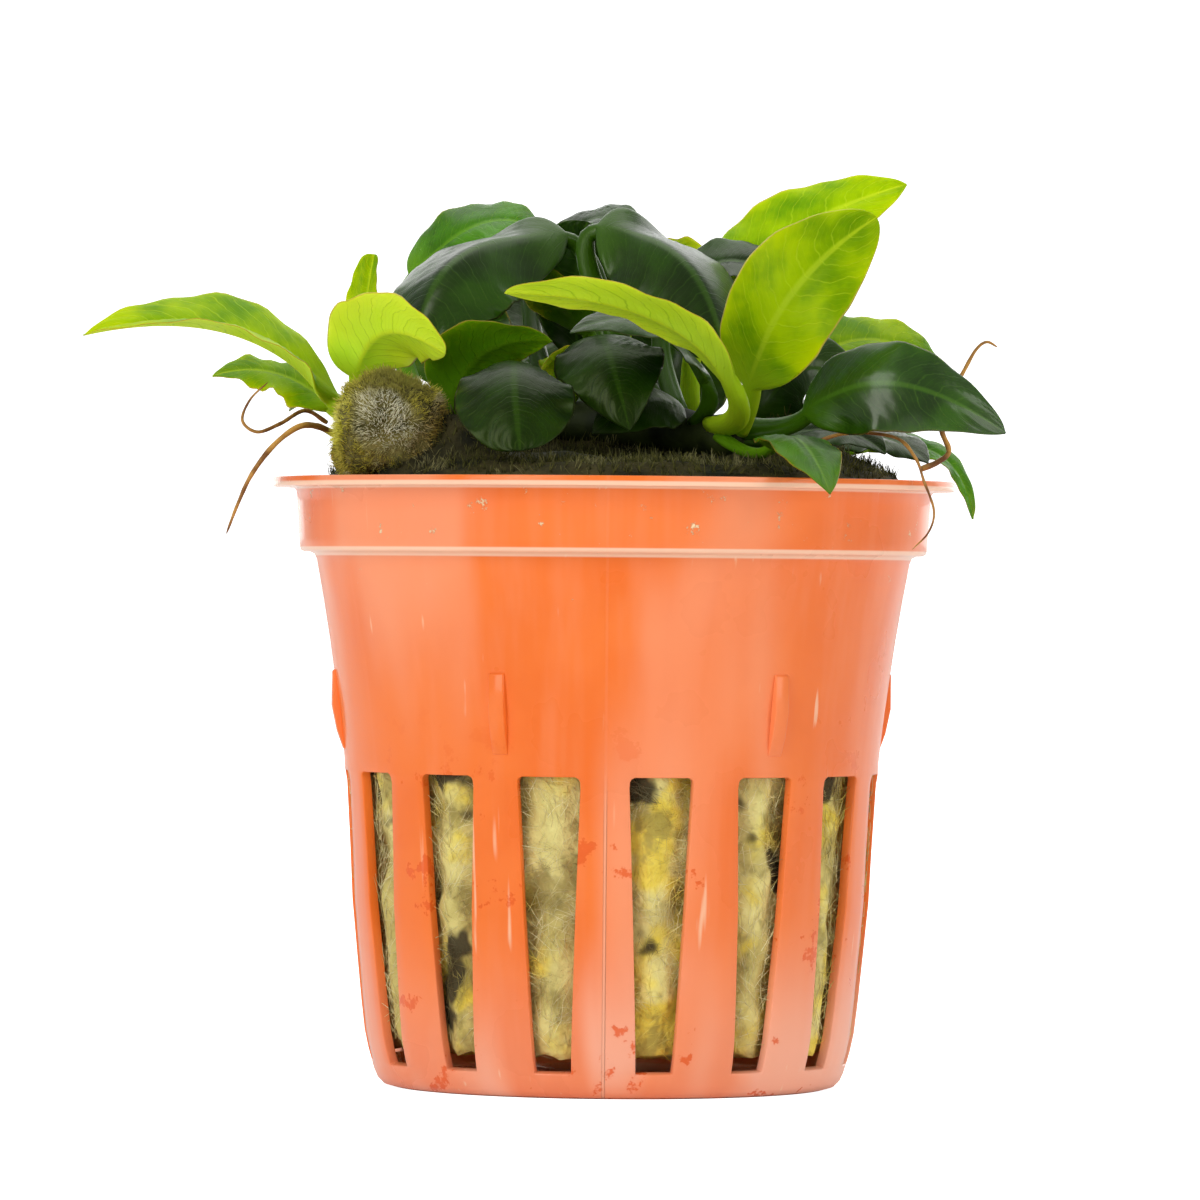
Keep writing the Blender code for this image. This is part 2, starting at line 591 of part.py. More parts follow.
def leaf_points(spec):
    """The closed sections of a leaf, from the foot of its stalk to its tip, as one array."""
    middle, _, across, up, half, is_blade = leaf_frames(spec, STALK_STATIONS, BLADE_STATIONS)
    v = np.array(SECTION_ACROSS)
    side = np.array(SECTION_SIDE)
    lift = np.radians(np.where(v < 0, spec["lift"][0], spec["lift"][1]))
    flat = is_blade[:, None]
    wide = v * (1 + flat * (np.cos(lift) - 1))
    high = flat * (np.abs(v) * np.sin(lift) - spec["bow"] * v**2)
    round_section = np.sqrt(np.clip(1 - v**2, 0, 1))
    thick = side * ((1 - flat) * spec["stalk"] * 0.9 + flat * BLADE_HALF_THICKNESS) * round_section
    return (
        middle[:, None, :]
        + (half[:, None] * wide)[..., None] * across[:, None, :]
        + (half[:, None] * high + thick)[..., None] * up[:, None, :]
    )


def make_leaf(name, spec, collection):
    """One leaf: a loft from the round stalk into the thin blade."""
    sections = leaf_points(spec)
    rows, count = sections.shape[:2]
    faces = [tuple(range(count)), tuple(range((rows - 1) * count, rows * count))]
    for row in range(rows - 1):
        for k in range(count):
            a, b = row * count + k, row * count + (k + 1) % count
            faces.append((a, b, b + count, a + count))
    mesh = mesh_from(name, sections.reshape(-1, 3), faces)
    mesh.shade_smooth()
    add_object(name, mesh, collection, "leaf_" + spec["tone"])


def main():
    """Builds the whole potted plant."""
    plant, cutters = clear_scene()
    make_pot(plant, cutters)
    make_rock_wool(plant)
    make_stone(plant, cutters)
    make_rhizomes(plant)
    make_roots(plant)
    for name, spec in LEAVES.items():
        make_leaf(name, spec, plant)


if __name__ == "__main__":
    main()
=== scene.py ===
# %% [markdown]
# # A small water plant on a mossy stone, in its net pot
#
# This lesson dresses a finished CAD model. The CAD gives the true sizes: a 55 mm slotted cup, a plug
# of rock wool, a stone, moss, two creeping stems, seven roots and a crowd of leaves. Each cell below
# works out one of these again as a fine surface, and gives it a finish made of shader nodes.
#
# Sizes are written in millimetres, and turned into metres in one place, where a mesh is made.

# %% Load the frame, and bake each part's placement into its mesh
import math

import bmesh
import bpy
import numpy as np
from mathutils import Matrix, Vector


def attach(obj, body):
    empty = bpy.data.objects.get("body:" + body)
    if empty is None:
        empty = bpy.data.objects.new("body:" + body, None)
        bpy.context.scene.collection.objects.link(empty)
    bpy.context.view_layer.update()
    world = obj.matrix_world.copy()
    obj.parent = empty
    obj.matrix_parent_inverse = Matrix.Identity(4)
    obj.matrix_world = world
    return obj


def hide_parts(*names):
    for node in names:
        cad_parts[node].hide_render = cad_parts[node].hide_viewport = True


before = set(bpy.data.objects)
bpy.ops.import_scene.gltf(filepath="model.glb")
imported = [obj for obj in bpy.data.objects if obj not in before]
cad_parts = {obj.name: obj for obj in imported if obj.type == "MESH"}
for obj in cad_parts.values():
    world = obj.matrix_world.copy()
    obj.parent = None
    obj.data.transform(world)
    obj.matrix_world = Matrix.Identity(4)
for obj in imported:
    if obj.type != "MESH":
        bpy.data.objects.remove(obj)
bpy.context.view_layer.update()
MM = 0.001
rng = np.random.default_rng(20)

# %% [markdown]
# ## From arrays to meshes
#
# Blender wants a list of points and a list of faces. Nearly every piece here is a grid: rows of
# points along it and columns across or around it. So one helper joins the neighbours of any grid
# into quads, and another makes the object, with its UV map and its per-point values. The normals
# are recalculated because every piece is a closed skin, where "outwards" has one clear meaning.
# Most pieces are a single wrapped grid with a lid at each end, so a third helper makes those.


# %% Grid faces and the mesh maker
def grid_faces(rows, columns, wrap=True):
    """Quads between neighbouring points of a grid stored row by row: (r, c), (r, c+1), (r+1, c+1),
    (r+1, c). With wrap, the last column joins the first."""
    row = np.arange(rows - 1)[:, None] * columns
    column = np.arange(columns if wrap else columns - 1)
    beside = (column + 1) % columns
    quads = [row + column, row + beside, row + columns + beside, row + columns + column]
    return np.stack(quads, axis=-1).reshape(-1, 4)


def closing_fans(rows, columns):
    """Two end faces, one round the first row of a wrapped grid and one round the last."""
    first = list(range(columns))[::-1]
    last = list(range((rows - 1) * columns, rows * columns))
    return [first, last]


def make_piece(name, points, faces, slot, replaces=(), values=None, uv=None):
    """A smooth closed mesh object from points in mm. slot, the name of a material slot of the record, is not
    used. values are per-point numbers by name; uv is a pair of numbers for each point."""
    mesh = bpy.data.meshes.new(name)
    mesh.from_pydata((points * MM).tolist(), [], [list(face) for face in faces])
    for key, numbers in (values or {}).items():
        layer = mesh.attributes.new(key, "FLOAT", "POINT")
        layer.data.foreach_set("value", np.asarray(numbers, np.float32).ravel())
    work = bmesh.new()
    work.from_mesh(mesh)
    bmesh.ops.recalc_face_normals(work, faces=work.faces)
    work.to_mesh(mesh)
    work.free()
    if uv is not None:
        corner_points = np.empty(len(mesh.loops), np.int32)
        mesh.loops.foreach_get("vertex_index", corner_points)
        layer = mesh.uv_layers.new(name="surface")
        layer.data.foreach_set("uv", uv[corner_points].astype(np.float32).ravel())
    mesh.shade_smooth()
    piece = bpy.data.objects.new(name, mesh)
    bpy.context.scene.collection.objects.link(piece)
    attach(piece, "root")
    if replaces:
        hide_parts(*replaces)
    return piece


def make_skin(name, grid, *facts, **more):
    """A piece whose skin is one wrapped grid of rows x columns x 3, closed by a face at each end."""
    shape = grid.shape[:2]
    faces = grid_faces(*shape).tolist() + closing_fans(*shape)
    return make_piece(name, grid.reshape(-1, 3), faces, *facts, **more)


# %% [markdown]
# ## Smooth roughness without random dots
#
# Moss, wool and stone need bumps that are smooth and always the same. A sum of sine waves in random
# directions does that for any array of points at once: each wave adds sin(k . p + phase), and short
# waves are made weaker than long ones.


# %% Wave noise, smooth routes and tubes
def wave_noise(points, size, seed, waves=24):
    """Smooth values of about -1 to 1 at points in mm: the mean of sines of the dot product of each
    point with random directions, whose wavelengths spread round size."""
    source = np.random.default_rng(seed)
    ways = source.normal(size=(waves, 3))
    ways /= np.linalg.norm(ways, axis=1, keepdims=True)
    lengths = size * source.uniform(0.5, 1.6, waves)
    phases = source.uniform(0, 2 * np.pi, waves)
    turns = points @ (ways * (2 * np.pi / lengths)[:, None]).T + phases
    return np.sin(turns) @ (lengths / size) / waves * 2.4


def unit(rows):
    """Each vector at length one."""
    return rows / np.maximum(np.linalg.norm(rows, axis=-1, keepdims=True), 1e-9)


def smooth_route(points, steps):
    """Points on a curve through the given ones: each span is a cubic whose end slopes are half the
    step between its neighbours."""
    points = np.asarray(points, float)
    ends = np.vstack([2 * points[0] - points[1], points, 2 * points[-1] - points[-2]])
    a, b, c, d = (ends[i : len(ends) - 3 + i, None, :] for i in range(4))
    t = (np.arange(steps) / steps)[None, :, None]
    spans = 0.5 * (2 * b + (c - a) * t + (2 * a - 5 * b + 4 * c - d) * t**2)
    spans += 0.5 * (3 * b - 3 * c + d - a) * t**3
    return np.vstack([spans.reshape(-1, points.shape[1]), points[-1]])


def tube_points(route, radii, sides):
    """Rings round a route: centre + radius * (cos turn * side + sin turn * up), where side and up
    are square to the route. The result is rows x sides x 3."""
    along = unit(np.gradient(route, axis=0))
    side = unit(np.cross(along, [0.13, 0.31, 0.94]))
    up = np.cross(side, along)
    turn = np.linspace(0, 2 * np.pi, sides, endpoint=False)
    ring = np.cos(turn)[:, None] * side[:, None, :] + np.sin(turn)[:, None] * up[:, None, :]
    return route[:, None, :] + np.asarray(radii)[:, None, None] * ring


# %% [markdown]
# ## Shader groups that several finishes share
#
# A node group is a small machine with named inputs and outputs. Three are used all over the plant:
# *patches* gives soft blotches of two sizes, *fine grain* gives the tiny unevenness that catches
# light, and *leaf veins* draws a midrib and curved side veins from a leaf's own UV map. Each gives
# out only values, so every material stays in charge of its own Principled shader.


# %% Node helpers: a new group, and numbers
def new_group(name, inputs, outputs):
    """An empty shader group: inputs are (name, socket type, start value), outputs (name, type)."""
    tree = bpy.data.node_groups.new(name, "ShaderNodeTree")
    for label, kind, start in inputs:
        socket = tree.interface.new_socket(label, in_out="INPUT", socket_type=kind)
        if start is not None:
            socket.default_value = start
    for label, kind in outputs:
        tree.interface.new_socket(label, in_out="OUTPUT", socket_type=kind)
    return tree, tree.nodes.new("NodeGroupInput"), tree.nodes.new("NodeGroupOutput")


def math_node(tree, operation, first, second=None, third=None, clamp=False):
    """A Math node whose inputs are sockets or plain numbers; returns its output."""
    node = tree.nodes.new("ShaderNodeMath")
    node.operation = operation
    node.use_clamp = clamp
    for socket, value in zip(node.inputs, (first, second, third)):
        if value is None:
            continue
        if isinstance(value, (int, float)):
            socket.default_value = value
        else:
            tree.links.new(value, socket)
    return node.outputs[0]


def times(tree, first, second):
    """The product of two sockets or numbers."""
    return math_node(tree, "MULTIPLY", first, second)


def ramp_node(tree, value, low, high, to_low=0.0, to_high=1.0):
    """A smooth step: value from low to high becomes to_low to to_high."""
    node = tree.nodes.new("ShaderNodeMapRange")
    node.interpolation_type = "SMOOTHSTEP"
    tree.links.new(value, node.inputs["Value"])
    node.inputs["From Min"].default_value = low
    node.inputs["From Max"].default_value = high
    node.inputs["To Min"].default_value = to_low
    node.inputs["To Max"].default_value = to_high
    return node.outputs["Result"]


# %% Node helpers: colours and noise
def mix_colour(tree, share, first, second, blend="MIX"):
    """A colour mix; share, first and second are sockets or plain values."""
    node = tree.nodes.new("ShaderNodeMix")
    node.data_type = "RGBA"
    node.blend_type = blend
    share_in, first_in, second_in = (node.inputs[place] for place in (0, 6, 7))
    for socket, value in ((share_in, share), (first_in, first), (second_in, second)):
        if isinstance(value, bpy.types.NodeSocket):
            tree.links.new(value, socket)
        elif isinstance(value, (int, float)):
            socket.default_value = value
        else:
            socket.default_value = (*value, 1.0)
    return node.outputs[2]


def noise_node(tree, vector, scale, detail=3.0, rough=0.55, stretch=None):
    """A noise texture's value on a vector, which may first be stretched."""
    if stretch:
        mapping = tree.nodes.new("ShaderNodeMapping")
        mapping.inputs["Scale"].default_value = stretch
        tree.links.new(vector, mapping.inputs["Vector"])
        vector = mapping.outputs["Vector"]
    node = tree.nodes.new("ShaderNodeTexNoise")
    node.inputs["Scale"].default_value = scale
    node.inputs["Detail"].default_value = detail
    node.inputs["Roughness"].default_value = rough
    tree.links.new(vector, node.inputs["Vector"])
    return node.outputs["Fac"]


# %% The group of soft patches
patches, given, result = new_group(
    "soft patches",
    [("Vector", "NodeSocketVector", None), ("Scale", "NodeSocketFloat", 100.0)],
    [("Value", "NodeSocketFloat")],
)
wide = patches.nodes.new("ShaderNodeTexNoise")
wide.inputs["Detail"].default_value = 4.0
patches.links.new(given.outputs["Vector"], wide.inputs["Vector"])
patches.links.new(given.outputs["Scale"], wide.inputs["Scale"])
patches.links.new(ramp_node(patches, wide.outputs["Fac"], 0.32, 0.68), result.inputs["Value"])

# %% The group of fine grain
grain, given, result = new_group(
    "fine grain",
    [
        ("Vector", "NodeSocketVector", None),
        ("Scale", "NodeSocketFloat", 2000.0),
        ("Height", "NodeSocketFloat", 0.00002),
        ("Strength", "NodeSocketFloat", 0.3),
    ],
    [("Normal", "NodeSocketVector")],
)
grit = grain.nodes.new("ShaderNodeTexNoise")
grit.inputs["Detail"].default_value = 4.0
grain.links.new(given.outputs["Vector"], grit.inputs["Vector"])
grain.links.new(given.outputs["Scale"], grit.inputs["Scale"])
bump = grain.nodes.new("ShaderNodeBump")
grain.links.new(grit.outputs["Fac"], bump.inputs["Height"])
grain.links.new(given.outputs["Height"], bump.inputs["Distance"])
grain.links.new(given.outputs["Strength"], bump.inputs["Strength"])
grain.links.new(bump.outputs["Normal"], result.inputs["Normal"])

# %% The group of leaf veins
veins, given, result = new_group(
    "leaf veins",
    [
        ("UV", "NodeSocketVector", None),
        ("Count", "NodeSocketFloat", 11.0),
        ("Lean", "NodeSocketFloat", 0.22),
        ("Width", "NodeSocketFloat", 0.1),
    ],
    [(label, "NodeSocketFloat") for label in ("Side veins", "Midrib", "Margin")],
)
split = veins.nodes.new("ShaderNodeSeparateXYZ")
veins.links.new(given.outputs["UV"], split.inputs[0])
across = math_node(veins, "MULTIPLY_ADD", split.outputs["X"], 2.0, -1.0)
out = math_node(veins, "ABSOLUTE", across)
reach = math_node(veins, "POWER", out, 1.25)
drift = math_node(veins, "MULTIPLY_ADD", noise_node(veins, given.outputs["UV"], 5.0, 2), 0.09, -0.045)
leaning = times(veins, reach, given.outputs["Lean"])
start = math_node(veins, "ADD", math_node(veins, "SUBTRACT", split.outputs["Y"], leaning), drift)


def vein_lines(share, strength):
    """Thin lines, share times as many as the count says: 1 - (distance from the line) / width,
    where the distance runs from 0 to 0.5 between one line and the next."""
    beat = math_node(veins, "FRACT", times(veins, start, times(veins, given.outputs["Count"], share)))
    offset = math_node(veins, "ABSOLUTE", math_node(veins, "SUBTRACT", beat, 0.5))
    away = math_node(veins, "DIVIDE", offset, given.outputs["Width"])
    return times(veins, math_node(veins, "SUBTRACT", 1.0, away, clamp=True), strength)


line = math_node(veins, "MAXIMUM", vein_lines(1.0, 1.0), vein_lines(3.0, 0.45))
fade = ramp_node(veins, out, 0.75, 0.98, 1.0, 0.0)
veins.links.new(times(veins, line, fade), result.inputs["Side veins"])
veins.links.new(ramp_node(veins, out, 0.02, 0.09, 1.0, 0.0), result.inputs["Midrib"])
veins.links.new(ramp_node(veins, out, 0.955, 0.99), result.inputs["Margin"])
print("groups:", [tree.name for tree in bpy.data.node_groups])


# %% A helper that starts a material
def start_material(name, roughness, subsurface=0.0, scale=0.001, coat=0.0, specular=0.4):
    """A Principled material with its plain settings, its tree, and its object coordinates."""
    made = bpy.data.materials.new(name)
    made.use_nodes = True
    tree = made.node_tree
    shader = tree.nodes["Principled BSDF"]
    shader.inputs["Roughness"].default_value = roughness
    shader.inputs["Subsurface Weight"].default_value = subsurface
    shader.inputs["Subsurface Radius"].default_value = (1.0, 0.9, 0.35)
    shader.inputs["Subsurface Scale"].default_value = scale
    shader.inputs["Coat Weight"].default_value = coat
    shader.inputs["Coat Roughness"].default_value = 0.12
    shader.inputs["Specular IOR Level"].default_value = specular
    place = tree.nodes.new("ShaderNodeTexCoord").outputs["Object"]
    return made, tree, shader, place


# %% Helpers that place a group, read a point's value, and make a plain earthy finish
def use_group(tree, group, **inputs):
    """The group as a node in a material, with its inputs set or linked by name."""
    node = tree.nodes.new("ShaderNodeGroup")
    node.node_tree = group
    for key, value in inputs.items():
        socket = node.inputs[key.replace("_", " ")]
        if isinstance(value, bpy.types.NodeSocket):
            tree.links.new(value, socket)
        else:
            socket.default_value = value
    return node


def attribute_value(tree, name):
    """A per-point value of the mesh, read by its name."""
    node = tree.nodes.new("ShaderNodeAttribute")
    node.attribute_name = name
    return node.outputs["Fac"]


def grainy_skin(tree, place, shader, scale, height, strength):
    """Fine grain on a shader: its size as a noise scale, its height in metres and its strength."""
    node = use_group(tree, grain, Vector=place, Scale=scale, Height=height, Strength=strength)
    tree.links.new(node.outputs["Normal"], shader.inputs["Normal"])


def earthy_finish(name, roughness, specular, patch_scale, dark, light, grit):
    """A rough finish in two tones: dark and light in soft patches, and grit as grainy_skin takes
    it. Stone, moss bases, stems and roots all need no more than this."""
    made, tree, shader, place = start_material(name, roughness, specular=specular)
    patch = use_group(tree, patches, Vector=place, Scale=patch_scale).outputs[0]
    tree.links.new(mix_colour(tree, patch, dark, light), shader.inputs["Base Color"])
    grainy_skin(tree, place, shader, *grit)
    return made


# %% [markdown]
# ## The net pot
#
# A real net pot is moulded in one shot from soft polypropylene, with a wall of one thickness that
# bends through flange, collar, step, tapering wall and floor. It could be made by turning a profile
# and cutting the slots with Booleans, but cut meshes shade badly. Here the wall is one grid instead.
# Its columns follow the edges of the slots, so a slot is simply a block of cells that is left out,
# and the same grid moved inwards by the wall's thickness is the inside.

# %% The pot's measures
RIBS = 15
RIB_CENTRE = -1.4
POT_WALL = 0.8
SLOT_TOP, SLOT_FOOT = 25.4, 2.0
RIB_HALF_TOP, RIB_HALF_FOOT = 5.1, 7.6
FLOOR_SLOT_SPAN, FLOOR_SLOT_EVERY = (5.5, 14.5), 3
POT_PROFILE = np.array([
    (27.5, 48.2), (27.0, 48.2), (26.3, 48.2), (25.86, 48.12), (25.68, 47.9), (25.6, 47.0), (25.5, 45.5),
    (25.4, 44.0), (25.36, 43.4), (25.26, 43.12), (25.0, 43.0), (24.5, 42.97), (24.16, 42.8),
    (23.98, 42.4), (23.88, 41.8), (23.4, 39.2), (22.86, 36.0), (22.4, 32.8), (22.0, 29.8), (21.76, 27.9),
    (21.6, 26.3), (21.56, SLOT_TOP), (21.55, 25.28), (21.52, 25.05), (21.44, 24.6), (21.3, 22.3), (21.1, 19.0),
    (20.9, 15.0), (20.5, 10.9), (20.1, 6.9), (19.8, 4.4), (19.5, 3.0), (19.3, 2.3), (19.24, 2.1),
    (19.2, SLOT_FOOT), (19.0, 1.3), (18.7, 0.62), (18.25, 0.18),
    (17.6, 0.0), (16.0, 0.0), (14.5, 0.0), (11.5, 0.0), (8.5, 0.0), (5.5, 0.0), (3.0, 0.0), (0.8, 0.0),
])
RIB_CELLS, SLOT_CELLS = 4, 5
CORNER_DROP, CORNER_GROWTH = [-0.5, -0.35, -0.12, 0], [0, 0.12, 0.5, 1.1]
FLOOR_POINTS = 7


# %% The wall as one grid
def inward_normals(profile):
    """Unit normals of a profile of (radius, height) that point to the inside: each segment's
    direction turned by a quarter, and averaged at the points."""
    step = np.gradient(profile, axis=0)
    turned = np.stack([step[:, 1], -step[:, 0]], axis=1)
    return unit(turned)


def wall_angles(heights):
    """Angles in radians of every column at every height. In each of the pot's sectors the columns
    share out the rib from -half to half, and the slot from half to the next rib's edge."""
    half = np.interp(heights, [SLOT_FOOT, SLOT_TOP], [RIB_HALF_FOOT, RIB_HALF_TOP])
    half += np.interp(heights - SLOT_TOP, CORNER_DROP, CORNER_GROWTH)
    half = np.where(heights > SLOT_TOP, RIB_HALF_TOP, half)[:, None]
    pitch = 360 / RIBS
    rib = np.linspace(-1, 1, RIB_CELLS, endpoint=False) * half
    slot = half + np.linspace(0, 1, SLOT_CELLS, endpoint=False) * (pitch - 2 * half)
    sector = np.concatenate([rib, slot], axis=1)
    turns = sector[:, None, :] + pitch * np.arange(RIBS)[None, :, None] + RIB_CENTRE
    return np.radians(turns.reshape(len(heights), -1))


def on_circle(radii, angles, heights):
    """Points at (radius, angle, height), with angle 0 at the front (-Y) and growing towards +X."""
    return np.stack([radii * np.sin(angles), -radii * np.cos(angles), heights + 0 * angles], axis=-1)


def wall_radius(heights):
    """The outer wall's radius at each height, read off the profile above its floor."""
    rising = POT_PROFILE[::-1][FLOOR_POINTS:]
    return np.interp(heights, rising[:, 1], rising[:, 0])


outer = POT_PROFILE
inner = outer + POT_WALL * inward_normals(outer)
inner[:2, 0] = outer[:2, 0]
inner[-1, 0] = outer[-1, 0]
inner[:, 1] = np.minimum.accumulate(inner[:, 1])
angles = wall_angles(outer[:, 1])
rows, columns = angles.shape
skins = [on_circle(side[:, 0:1], angles, side[:, 1:2]) for side in (outer, inner)]

# %% Which cells are wall, and which are slots
in_sector = np.arange(columns) % (RIB_CELLS + SLOT_CELLS)
sector_number = np.arange(columns) // (RIB_CELLS + SLOT_CELLS)
middle_height = (outer[1:, 1] + outer[:-1, 1])[:, None] / 2
middle_radius = (outer[1:, 0] + outer[:-1, 0])[:, None] / 2
on_slot = (in_sector >= RIB_CELLS)[None, :] & (middle_height < SLOT_TOP) & (middle_height > SLOT_FOOT)
low, high = FLOOR_SLOT_SPAN
on_floor_slot = ((in_sector < RIB_CELLS) & (sector_number % FLOOR_SLOT_EVERY == 0))[None, :]
on_floor_slot = on_floor_slot & (middle_radius > low) & (middle_radius < high) & (middle_height < 0.1)
solid = ~(on_slot | on_floor_slot)
print("pot cells:", solid.size, "of which open:", int((~solid).sum()))

# %% Faces of the pot: two skins, the slots' side walls, the flange's edge and the floor's centre
count = rows * columns
cells = grid_faces(rows, columns)[solid.ravel()]
index = np.arange(count).reshape(rows, columns)
beside = np.roll(index, -1, axis=1)
left = np.roll(solid, 1, axis=1)
upper, lower = solid[:-1], solid[1:]
edges = [
    (index[:-1], index[1:], solid & ~left),
    (index[1:], index[:-1], ~solid & left),
    (beside[1:-1], index[1:-1], upper & ~lower),
    (index[1:-1], beside[1:-1], ~upper & lower),
    (index[0], beside[0], slice(None)),
]
faces = [cells, cells[:, ::-1] + count]
for first, second, wanted in edges:
    a, b = first[wanted], second[wanted]
    faces.append(np.stack([a, b, b + count, a + count], axis=-1))
faces = [face for block in faces for face in block.tolist()]
faces += [index[-1].tolist()[::-1], (index[-1] + count).tolist()]
pot_points = np.concatenate([skin.reshape(-1, 3) for skin in skins])

# %% [markdown]
# The lugs are six small upright ribs that stop stacked pots from jamming. Each is a short profile
# given a width, set a little into the wall. They join the pot's mesh, so one Bevel rounds them
# together with every slot edge, as the radii of a mould would.

# %% The lugs, and the finished pot
LUGS, LUG_PHASE, LUG_WIDTH = 6, -23.8, 1.3
LUG_PROFILE = np.array([
    (22.0, 33.9), (22.72, 33.4), (22.72, 30.6), (22.3, 28.6), (21.75, 27.1), (21.3, 27.1), (21.6, 33.9),
])
corners = len(LUG_PROFILE)
turn = np.radians(LUG_PHASE + 360 / LUGS * np.arange(LUGS))[:, None, None]
half_turn = np.array([-1, 1])[None, :, None] * LUG_WIDTH / 2 / LUG_PROFILE[:, 0]
lug_points = on_circle(LUG_PROFILE[:, 0], turn + half_turn, LUG_PROFILE[:, 1]).reshape(-1, 3)
k = np.arange(corners)
sides = np.stack([k, (k + 1) % corners, corners + (k + 1) % corners, corners + k], axis=-1)
for lug in range(LUGS):
    base = len(pot_points) + lug * 2 * corners
    faces += (sides + base).tolist()
    faces += [(k + base).tolist()[::-1], (k + corners + base).tolist()]
pot_points = np.concatenate([pot_points, lug_points])
pot = make_piece("net_pot_moulded", pot_points, faces, "pot_plastic", ["net_pot"])
MOULD_RADIUS, SHARPEST = 0.16, 50
rounding = pot.modifiers.new("mould radii", "BEVEL")
rounding.width = MOULD_RADIUS * MM
rounding.segments = 2
rounding.limit_method = "ANGLE"
rounding.angle_limit = math.radians(SHARPEST)
print("pot:", len(pot.data.polygons), "faces before rounding")

# %% [markdown]
# ### The pot's plastic
#
# The plastic is orange, smooth and a little cloudy, and a thin coat gives it a soft gloss. Milky pink patches,
# upright streaks and a pale foot are mixed into its colour as painted highlights of the soft lights, and the
# patches are strongest on the left, where the light falls. Two pale bands on the rims' rounded lips are
# painted highlights too, and a fine seam shows where the mould's halves met. Used pots have upright scratches,
# pale lime specks that dried water has left, mostly on the collar, and darker places where the wall is wet.
# Heights and places below are in metres, because that is what object coordinates give.

# %% Pot material: cloudy plastic, with painted highlights in patches, in upright streaks and at its foot
SEAM_PLACE, RIM_BANDS, RIM_SOFT = -0.00047, [(0.0481, 0.0485), (0.04275, 0.0433)], 0.00015
plastic, tree, shader, place = start_material("orange pot plastic", 0.32, coat=0.35, specular=0.3)
shader.inputs["Specular Tint"].default_value = (1.0, 0.6, 0.42, 1)
spot = tree.nodes.new("ShaderNodeSeparateXYZ")
tree.links.new(place, spot.inputs[0])
level = spot.outputs["Z"]


def between(value, low, high, soft):
    """A band: 1 from low to high, fading to 0 over the soft distance outside."""
    rise = ramp_node(tree, value, low - soft, low)
    return times(tree, rise, ramp_node(tree, value, high, high + soft, 1.0, 0.0))


def paint(colour, share, over):
    """The pot's colour so far, with another laid over it at a share."""
    return mix_colour(tree, share, colour, over)


def spread(scale, detail, rough, stretch=None):
    """Noise over the pot: stretch draws it out upright."""
    return noise_node(tree, place, scale, detail, rough, stretch)


cloud = use_group(tree, patches, Vector=place, Scale=90.0).outputs[0]
colour = mix_colour(tree, cloud, (0.88, 0.160, 0.016), (0.93, 0.195, 0.028))
# Painted highlight: milky pink patches stand for the soft lights' reflection. They are full on the left and
# faint on the right, where less light falls.
painted_sheen = ramp_node(tree, spread(75.0, 2, 0.5, (1, 1, 0.22)), 0.44, 0.62, 0.0, 0.6)
painted_sheen = times(tree, painted_sheen, ramp_node(tree, spot.outputs["X"], 0.010, 0.015, 1.0, 0.1))
colour = paint(colour, painted_sheen, (0.97, 0.38, 0.21))
# Painted highlight: upright pinkish streaks stand for the reflections of the tall soft panels.
highlight_streak = ramp_node(tree, spread(260.0, 3, 0.6, (1, 1, 0.06)), 0.45, 0.7, 0.0, 0.4)
colour = paint(colour, highlight_streak, (0.97, 0.28, 0.11))
# Painted highlight: pale pinkish patches towards the foot stand for the glare on the ribs' lower ends.
foot = ramp_node(tree, level, 0.002, 0.015, 0.85, 0.0)
foot_highlight_patches = ramp_node(tree, spread(85.0, 2, 0.5, (1, 1, 0.3)), 0.42, 0.56, 0.35, 1.0)
colour = paint(colour, times(tree, foot, foot_highlight_patches), (0.99, 0.50, 0.35))

# %% Pot material: lime specks, scratches and damp
on_collar = ramp_node(tree, level, 0.034, 0.047, 0.0, 0.115)
limit = math_node(tree, "SUBTRACT", 0.735, on_collar)
lime = ramp_node(tree, math_node(tree, "SUBTRACT", spread(480.0, 6, 0.75), limit), 0.0, 0.04)
colour = paint(colour, times(tree, lime, 0.85), (0.98, 0.80, 0.48))
scratch = ramp_node(tree, spread(900.0, 2, 0.5, (1, 1, 0.03)), 0.70, 0.77, 0.0, 0.6)
colour = paint(colour, scratch, (1.0, 0.68, 0.45))
lower = ramp_node(tree, level, 0.017, 0.033, 1.0, 0.0)
damp = times(tree, ramp_node(tree, spread(190.0, 5, 0.7), 0.60, 0.64), lower)
colour = paint(colour, times(tree, damp, 0.8), (0.80, 0.10, 0.008))

# %% Pot material: painted rim highlights, the mould's seam, and gloss
# Painted highlight: pale bands on the flange's lower edge and the step's lower lip, where the rounded edges
# catch the light.
rim_highlights = math_node(tree, "ADD", *(between(level, *band, RIM_SOFT) for band in RIM_BANDS))
colour = paint(colour, times(tree, rim_highlights, 0.8), (1.0, 0.70, 0.50))
seam = math_node(tree, "ABSOLUTE", math_node(tree, "SUBTRACT", spot.outputs["X"], SEAM_PLACE))
seam = ramp_node(tree, seam, 0.00005, 0.00017, 1.0, 0.0)
seam = times(tree, seam, ramp_node(tree, spot.outputs["Y"], -0.003, 0.0, 1.0, 0.0))
seam = times(tree, seam, ramp_node(tree, level, 0.021, 0.027, 1.0, 0.12))
colour = paint(colour, times(tree, seam, 0.45), (1.0, 0.52, 0.34))
tree.links.new(colour, shader.inputs["Base Color"])
dull = math_node(tree, "MULTIPLY_ADD", cloud, 0.12, 0.26)
tree.links.new(math_node(tree, "MULTIPLY_ADD", damp, -0.2, dull), shader.inputs["Roughness"])
skin = use_group(tree, grain, Vector=place, Scale=900.0, Height=0.00003, Strength=0.25)
raised = tree.nodes.new("ShaderNodeBump")
raised.inputs["Distance"].default_value = 0.00012
